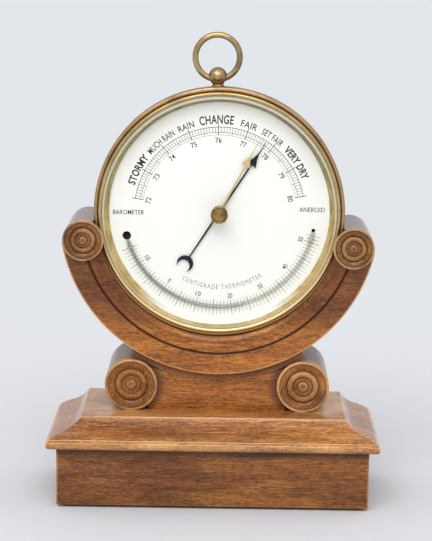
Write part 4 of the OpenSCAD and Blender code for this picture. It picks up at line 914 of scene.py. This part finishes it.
def clear_glass(name, tint, smooth, bevel=0.0):
    """Thin clear glass: light passes straight through, tinted, and on its outer faces a share that grows
    towards the edge is mirrored. Where the attribute "bevel" is 1, the cut glass is painted, by that share, with
    what it would show: the gold of the ring behind it along its inner side, more of it lower down and olive
    higher up, and the white of the sky beyond, as a painted reflection."""
    f = Finish(name)
    through = f.node("BsdfTransparent", {"Color": tint})
    mirrored = f.node("BsdfGlossy", {"Color": (0.95, 0.95, 0.93, 1.0), "Roughness": smooth})
    outside = 1.0 - f.node("NewGeometry", out="Backfacing")
    mirror = f.node("Fresnel", {"IOR": 1.47}) * outside * 0.28
    clear = f.node("MixShader", {0: mirror, 1: through, 2: mirrored})
    if not bevel:
        return f.end(clear)
    height = f.along("Z")
    cloud = f.noise(f.object_place(), 90, 2, 0.5)
    gold = f.mix(f.step(cloud, 0.4, 0.65), paint(214, 190, 128), paint(176, 150, 88))
    gold = f.mix(f.step(height, 120, 190), gold, paint(134, 126, 80))
    pale = f.mix(f.step(height + cloud * 20, 105, 160), paint(236, 216, 166), paint(238, 235, 222))
    inner_side = f.step(f.from_middle(STAND_SHIFT, CASE_Z) + height * 0.009, 60.8, 61.3)
    cut = f.node("BsdfPrincipled", {
        "Base Color": f.mix(inner_side, gold, pale), "Roughness": 0.5, "Specular IOR Level": 0.3})
    share = f.node("Attribute", out="Fac", attribute_name="bevel") * outside * bevel
    return f.end(f.node("MixShader", {0: share, 1: clear, 2: cut}))


def stretch(path, outward, upward, radius):
    """Part of a path to sweep along: for each of its points a row of the point, the two directions across the
    path and the radius there. Each of the last three may be one for all."""
    count = len(path)
    return np.column_stack([path, np.broadcast_to(outward, (count, 3)), np.broadcast_to(upward, (count, 3)),
                            np.broadcast_to(radius, count)])


def swept(rows, sides=24):
    """A round section carried along a path: each ring is centred on the path, in the plane of its two crossing
    directions, and as wide as its radius. A radius of 0 at an end closes it."""
    a = np.linspace(0, 2 * np.pi, sides, endpoint=False)[:, None]
    path, outward, upward, radius = np.split(rows[:, None], [3, 6, 9], axis=-1)
    points = path + (outward * np.cos(a) + upward * np.sin(a)) * radius
    return in_case(points), grid_faces(len(rows), sides, close_columns=True)


def directions(degrees):
    """The directions outwards and anticlockwise at an angle on the dial, or at an array of angles."""
    a = np.radians(degrees)
    return (np.stack([np.cos(a), np.sin(a), 0 * a], axis=-1), np.stack([-np.sin(a), np.cos(a), 0 * a], axis=-1))


def round_dial(start, end, radius, steps):
    """A path round the dial at the tube's height over it, between two angles in degrees."""
    outward = directions(np.linspace(start, end, steps))[0]
    return stretch(TUBE_ARC_R * outward + TUBE_Z * UP, outward, UP, radius)


UP = np.array([0.0, 0.0, 1.0])
bulb_out, bulb_forward = directions(BULB_ANGLE)
tip_out, tip_forward = directions(TIP_ANGLE)
ball = np.linspace(-np.pi / 2, np.pi / 3, 14)
quarter = np.linspace(0, np.pi / 2, 7)[:, None]
elbow_r = TUBE_Z - ELBOW_Z
stem_heights = np.concatenate([BULB_Z + BULB_R * np.sin(ball), [BULB_Z + 2.6, -1.0, 0.1]])[:, None]
tube_path = np.concatenate([
    stretch(TUBE_ARC_R * bulb_out + stem_heights * UP, bulb_out, -bulb_forward,
            np.append(BULB_R * np.cos(ball), [TUBE_R] * 3)),
    stretch(TUBE_ARC_R * bulb_out + elbow_r * (1 - np.cos(quarter)) * bulb_forward
            + (ELBOW_Z + elbow_r * np.sin(quarter)) * UP,
            bulb_out, np.sin(quarter) * UP - np.cos(quarter) * bulb_forward, TUBE_R),
    round_dial(BULB_ANGLE + 1.2, TIP_ANGLE, TUBE_R, 150)[1:-1],
    stretch(TUBE_ARC_R * tip_out + TUBE_Z * UP + TUBE_R * (np.sin(quarter[1:]) - 1) * tip_forward,
            tip_out, UP, TUBE_R * np.cos(quarter[1:, 0]))])
tube_glass = clear_glass("tube_glass", (0.89, 0.88, 0.85, 1.0), 0.1)
tube = build("thermometer_glass", [swept(tube_path)], tube_glass, sharp=60)
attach(tube, "stand")
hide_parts("thermometer_tube")

# Mercury: a silvery thread in the tube's bore, which ends at the temperature that the
# printed scale shows. The two straps over the tube are of thin brass.
TEMPERATURE, THREAD_R = 23.8, 0.45
mercury_finish = metal("mercury", paint(176, 178, 182), paint(150, 152, 156), paint(120, 120, 124), 0.12, 0.2)
column = round_dial(BULB_ANGLE + 2.4, temperature_angle(TEMPERATURE), THREAD_R, 60)
column[[0, -1], -1] = 0
mercury = build("mercury_thread", [swept(column, sides=10)], mercury_finish, sharp=60)
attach(mercury, "stand")
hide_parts("mercury_column")
strap_brass = metal("strap_brass", paint(204, 194, 166), paint(172, 158, 124), paint(120, 104, 76), 0.3, 0.4, 0.7)
dress(strap_brass, "tube_clips")

# Pressure hand: cut from sheet steel, filed to an arrow with swept barbs and a crescent
# behind, and blued. It is riveted on its collet.
HAND_Z, HAND_T, HAND_LEN = 1.1, 0.35, 43.3
CRESCENT_DIST, CRESCENT_R, HUB_R = 32.4, 4.3, 2.6


def blade(stations, z, thick, ridge=0.3):
    """A hand's blade along x from (place, half width) stations. Its front has a ridge along the middle, and its
    flanks fall by that share of its thickness."""
    stations = np.asarray(stations, float)
    x = np.repeat(stations[:, :1], 5, axis=1)
    y = stations[:, 1:] * np.array([-1, -0.5, 0, 0.5, 1])
    fall = np.array([ridge, ridge / 2, 0, ridge / 2, ridge]) * thick
    front = np.stack([x, y, np.tile(z + thick - fall, (len(x), 1))], axis=-1)
    back = np.stack([x, y, np.full(x.shape, z)], axis=-1)
    return slab(front, back)


def disc(radius, z, thick, middle=0.0, ease=0.06, turns=48):
    """A flat disc with an eased front edge, its middle on the x axis."""
    shell = turned(np.array([[0, z], [radius, z], [radius, z + thick - ease], [radius - ease, z + thick],
                             [0, z + thick]]), turns)
    return shell[0] + [middle, 0, 0], shell[1]


def crescent(middle, radius, z, thick, turns=49):
    """A crescent open towards -x: rows from its outer circle to a smaller one set off the same way."""
    inner_r, shift = 0.76 * radius, 0.34 * radius
    reach = (radius ** 2 - inner_r ** 2 + shift ** 2) / (2 * shift)
    outer_end = np.arccos(-reach / radius)
    inner_end = np.arccos((shift - reach) / inner_r)
    t = np.linspace(-1, 1, turns)
    outer = np.stack([middle + radius * np.cos(outer_end * t), radius * np.sin(outer_end * t)], axis=-1)
    inner = np.stack([middle - shift + inner_r * np.cos(inner_end * t), inner_r * np.sin(inner_end * t)], axis=-1)
    rows = np.stack([outer, 0.7 * outer + 0.3 * inner, 0.3 * outer + 0.7 * inner, inner])
    sheets = []
    for heights in ((z + 0.8 * thick, z + thick, z + thick, z + 0.8 * thick), (z,) * 4):
        sheets.append(np.concatenate([rows, np.repeat(np.array(heights)[:, None, None], turns, axis=1)], axis=-1))
    return slab(*sheets)


def hand_stations(length, tail, root, barb, width):
    """(place, half width) along a hand: tapered shaft, swept barbs at a share of its length, needle."""
    return [(tail, 0.6 * root), (0, root), ((barb + 0.04) * length, 0.6 * root), (barb * length, width),
            ((barb + 0.09) * length, 0.35 * width), ((barb + 0.15) * length, 0.55 * root), (length, 0.1)]


f = Finish("blued_steel")
bloom = f.noise(f.object_place(), 400, 3, 0.6)
blued = f.surface(
    Base_Color=f.mix(bloom, paint(8, 10, 24), paint(18, 22, 40)), Metallic=0.2, Roughness=0.42 + bloom * 0.14,
    Specular_IOR_Level=0.25, Normal=f.bump(bloom, 0.1, 0.00002))
PRESSURE, SET_PRESSURE = 77.72, 77.48
pressure_hand = build("blued_hand", [at_angle(shell, pressure_angle(PRESSURE)) for shell in (
    blade(hand_stations(HAND_LEN, tail=-CRESCENT_DIST + 0.7 * CRESCENT_R, root=0.6, barb=0.685, width=2.8),
          HAND_Z, HAND_T),
    disc(HUB_R, HAND_Z, HAND_T), crescent(-CRESCENT_DIST, CRESCENT_R, HAND_Z, HAND_T))], blued, sharp=20)
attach(pressure_hand, "hand")
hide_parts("pressure_hand")

# Set hand: a thin gilt brass hand under the glass, turned by the knob in front, to mark
# where the pressure stood when it was last read.
HANDS_GAP, SET_SHORTER, SET_HUB_R = 1.15, 1.9, 2.3
SET_Z, SET_LEN = HAND_Z + HAND_T + HANDS_GAP, HAND_LEN - SET_SHORTER
gilt = metal("gilt_brass", paint(216, 192, 136), paint(186, 160, 104), paint(134, 108, 66), 0.42, 0.3, 0.6)
set_hand = build("gilt_set_hand", [at_angle(shell, pressure_angle(SET_PRESSURE)) for shell in (
    blade(hand_stations(SET_LEN, tail=-9, root=0.55, barb=0.67, width=2.6), SET_Z, HAND_T),
    disc(SET_HUB_R, SET_Z, HAND_T))], gilt, sharp=20)
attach(set_hand, "set_hand")
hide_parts("set_hand")

# Glass: a flat disc with a broad polished bevel, drilled in the middle for the knob's stem.
GLASS_T, GLASS_EDGE_T, GLASS_BEVEL, STEM_R = 2.4, 1.1, 2.4, 1.4
cover_glass = clear_glass("cover_glass", (0.99, 0.992, 0.985, 1.0), 0.12, 0.75)
glass_profile = np.array([
    [STEM_R + 0.05, GLASS_GAP], [GLASS_R, GLASS_GAP], [GLASS_R, GLASS_GAP + GLASS_EDGE_T],
    [GLASS_R - GLASS_BEVEL, GLASS_GAP + GLASS_T], [STEM_R + 0.05, GLASS_GAP + GLASS_T]])
glass = build("bevelled_glass", [hoop(glass_profile)], cover_glass, sharp=20)
facing = -read(glass.data.polygons, "normal")[:, 1]
sloped = (facing > 0.05) & (facing < 0.95)
glass.data.attributes.new("bevel", "FLOAT", "FACE").data.foreach_set("value", sloped.astype(np.float32))
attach(glass, "stand")
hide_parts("glass")

# Bezel: a turned brass hoop whose sleeve slides into the drum behind the rim, with a
# polished bead in front that holds the glass.
BEZEL_H, BEZEL_BEAD_R, PLATE_BACK = 5.6, 0.9, -2.3
SLEEVE_R, SLEEVE_TOP = RIM_R - SLIP / 2, RIM_Z - RIM_BEAD_R - SLIP
bezel_profile = np.concatenate([
    [[BEZEL_R, SLEEVE_TOP], [BEZEL_R, 4.0]],
    arc_line((BEZEL_R - BEZEL_BEAD_R, BEZEL_H), BEZEL_BEAD_R, 0, 218, 24),
    [[BEZEL_R - BEZEL_WALL, 3.0], [BEZEL_R - BEZEL_WALL, PLATE_BACK],
     [SLEEVE_R, PLATE_BACK], [SLEEVE_R, SLEEVE_TOP]]])
# Painted shade on faces that turn away, and a pale cream below 105 mm as a painted reflection.
bezel_brass = metal("bezel_brass", paint(198, 174, 122), paint(142, 116, 66), paint(74, 56, 28), 0.3, 0.7, silhouette_shade=0.6,
                    base=(105, 150, paint(236, 214, 162)))
bezel = build("turned_bezel", [hoop(bezel_profile)], bezel_brass, sharp=40)
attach(bezel, "stand")
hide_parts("bezel")

# Knob: turned brass with a waisted foot and a flat dished face, on a stem through the
# glass, with a thin washer on each side of it.
KNOB_R, KNOB_H, WASHER_T = 4.4, 6.0, 0.3
KNOB_Z = GLASS_GAP + GLASS_T + WASHER_T
knob_profile = np.concatenate([
    [[0, SET_Z], [STEM_R, SET_Z], [STEM_R, KNOB_Z], [0.75 * KNOB_R, KNOB_Z], [0.75 * KNOB_R, KNOB_Z + 0.12 * KNOB_H]],
    bow_line((0.62 * KNOB_R, KNOB_Z + 0.22 * KNOB_H), (0.62 * KNOB_R, KNOB_Z + 0.44 * KNOB_H), 0.25, 6),
    [[0.92 * KNOB_R, KNOB_Z + 0.5 * KNOB_H]],
    arc_line((KNOB_R - 0.35, KNOB_Z + 0.62 * KNOB_H), 0.35, -60, 0, 4),
    arc_line((KNOB_R - 0.45, KNOB_Z + KNOB_H - 0.5), 0.45, 0, 165, 12),
    [[0.76 * KNOB_R, KNOB_Z + KNOB_H - 0.75]],
    bow_line((0.72 * KNOB_R, KNOB_Z + KNOB_H - 0.72), (0, KNOB_Z + KNOB_H - 0.5), 0.06, 10)])
# A dark rim of painted shade where its faces turn away.
knob_brass = metal("knob_brass", paint(162, 134, 82), paint(98, 76, 34), paint(38, 26, 14), 0.34, 1.0, scale=6.0,
                   silhouette_shade=1.0)
knob_points, knob_faces = turned(knob_profile, 72)
knob = build("set_knob_turned", [(in_case(knob_points), knob_faces)], knob_brass, sharp=35)
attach(knob, "set_hand")
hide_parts("set_knob")
dress(gilt, "knob_washers")

# Pendant: a turned brass neck and ball screwed through the top of the drum, and the ring
# of drawn brass wire that hangs in the hole across the ball.
# A dark rim of painted shade where its faces turn away.
ring_brass = metal("aged_brass", paint(186, 162, 116), paint(122, 98, 58), paint(48, 36, 20), 0.28, 0.9, silhouette_shade=1.0)
RING_R, RING_WIRE_R, BALL_R, BALL_RISE, PENDANT_INSET = 11.5, 1.55, 4.75, 4.3, 24.5
BALL_DIST, PENDANT_Z = DRUM_R + BALL_RISE, WOOD_BACK + PENDANT_INSET
ring_rise = RING_R - np.sqrt(RING_R ** 2 - BALL_R ** 2)
ring_up = BALL_DIST - 0.23 * BALL_R - ring_rise / 2 + RING_R
ring_points, ring_faces = turned(arc_line((RING_R, PENDANT_Z), RING_WIRE_R, 0, 360, 28)[:-1], 160, closed=True)
ring = build("wire_ring", [(in_case(ring_points + [0, ring_up, 0]), ring_faces)], ring_brass)
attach(ring, "ring")
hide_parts("suspension_ring")
cad_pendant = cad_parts["pendant"].data
pendant_faces = [list(face.vertices) for face in cad_pendant.polygons]
pendant = build("turned_pendant", [(read(cad_pendant.vertices, "co") * 1000, pendant_faces)], ring_brass, sharp=28)
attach(pendant, "stand")
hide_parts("pendant")
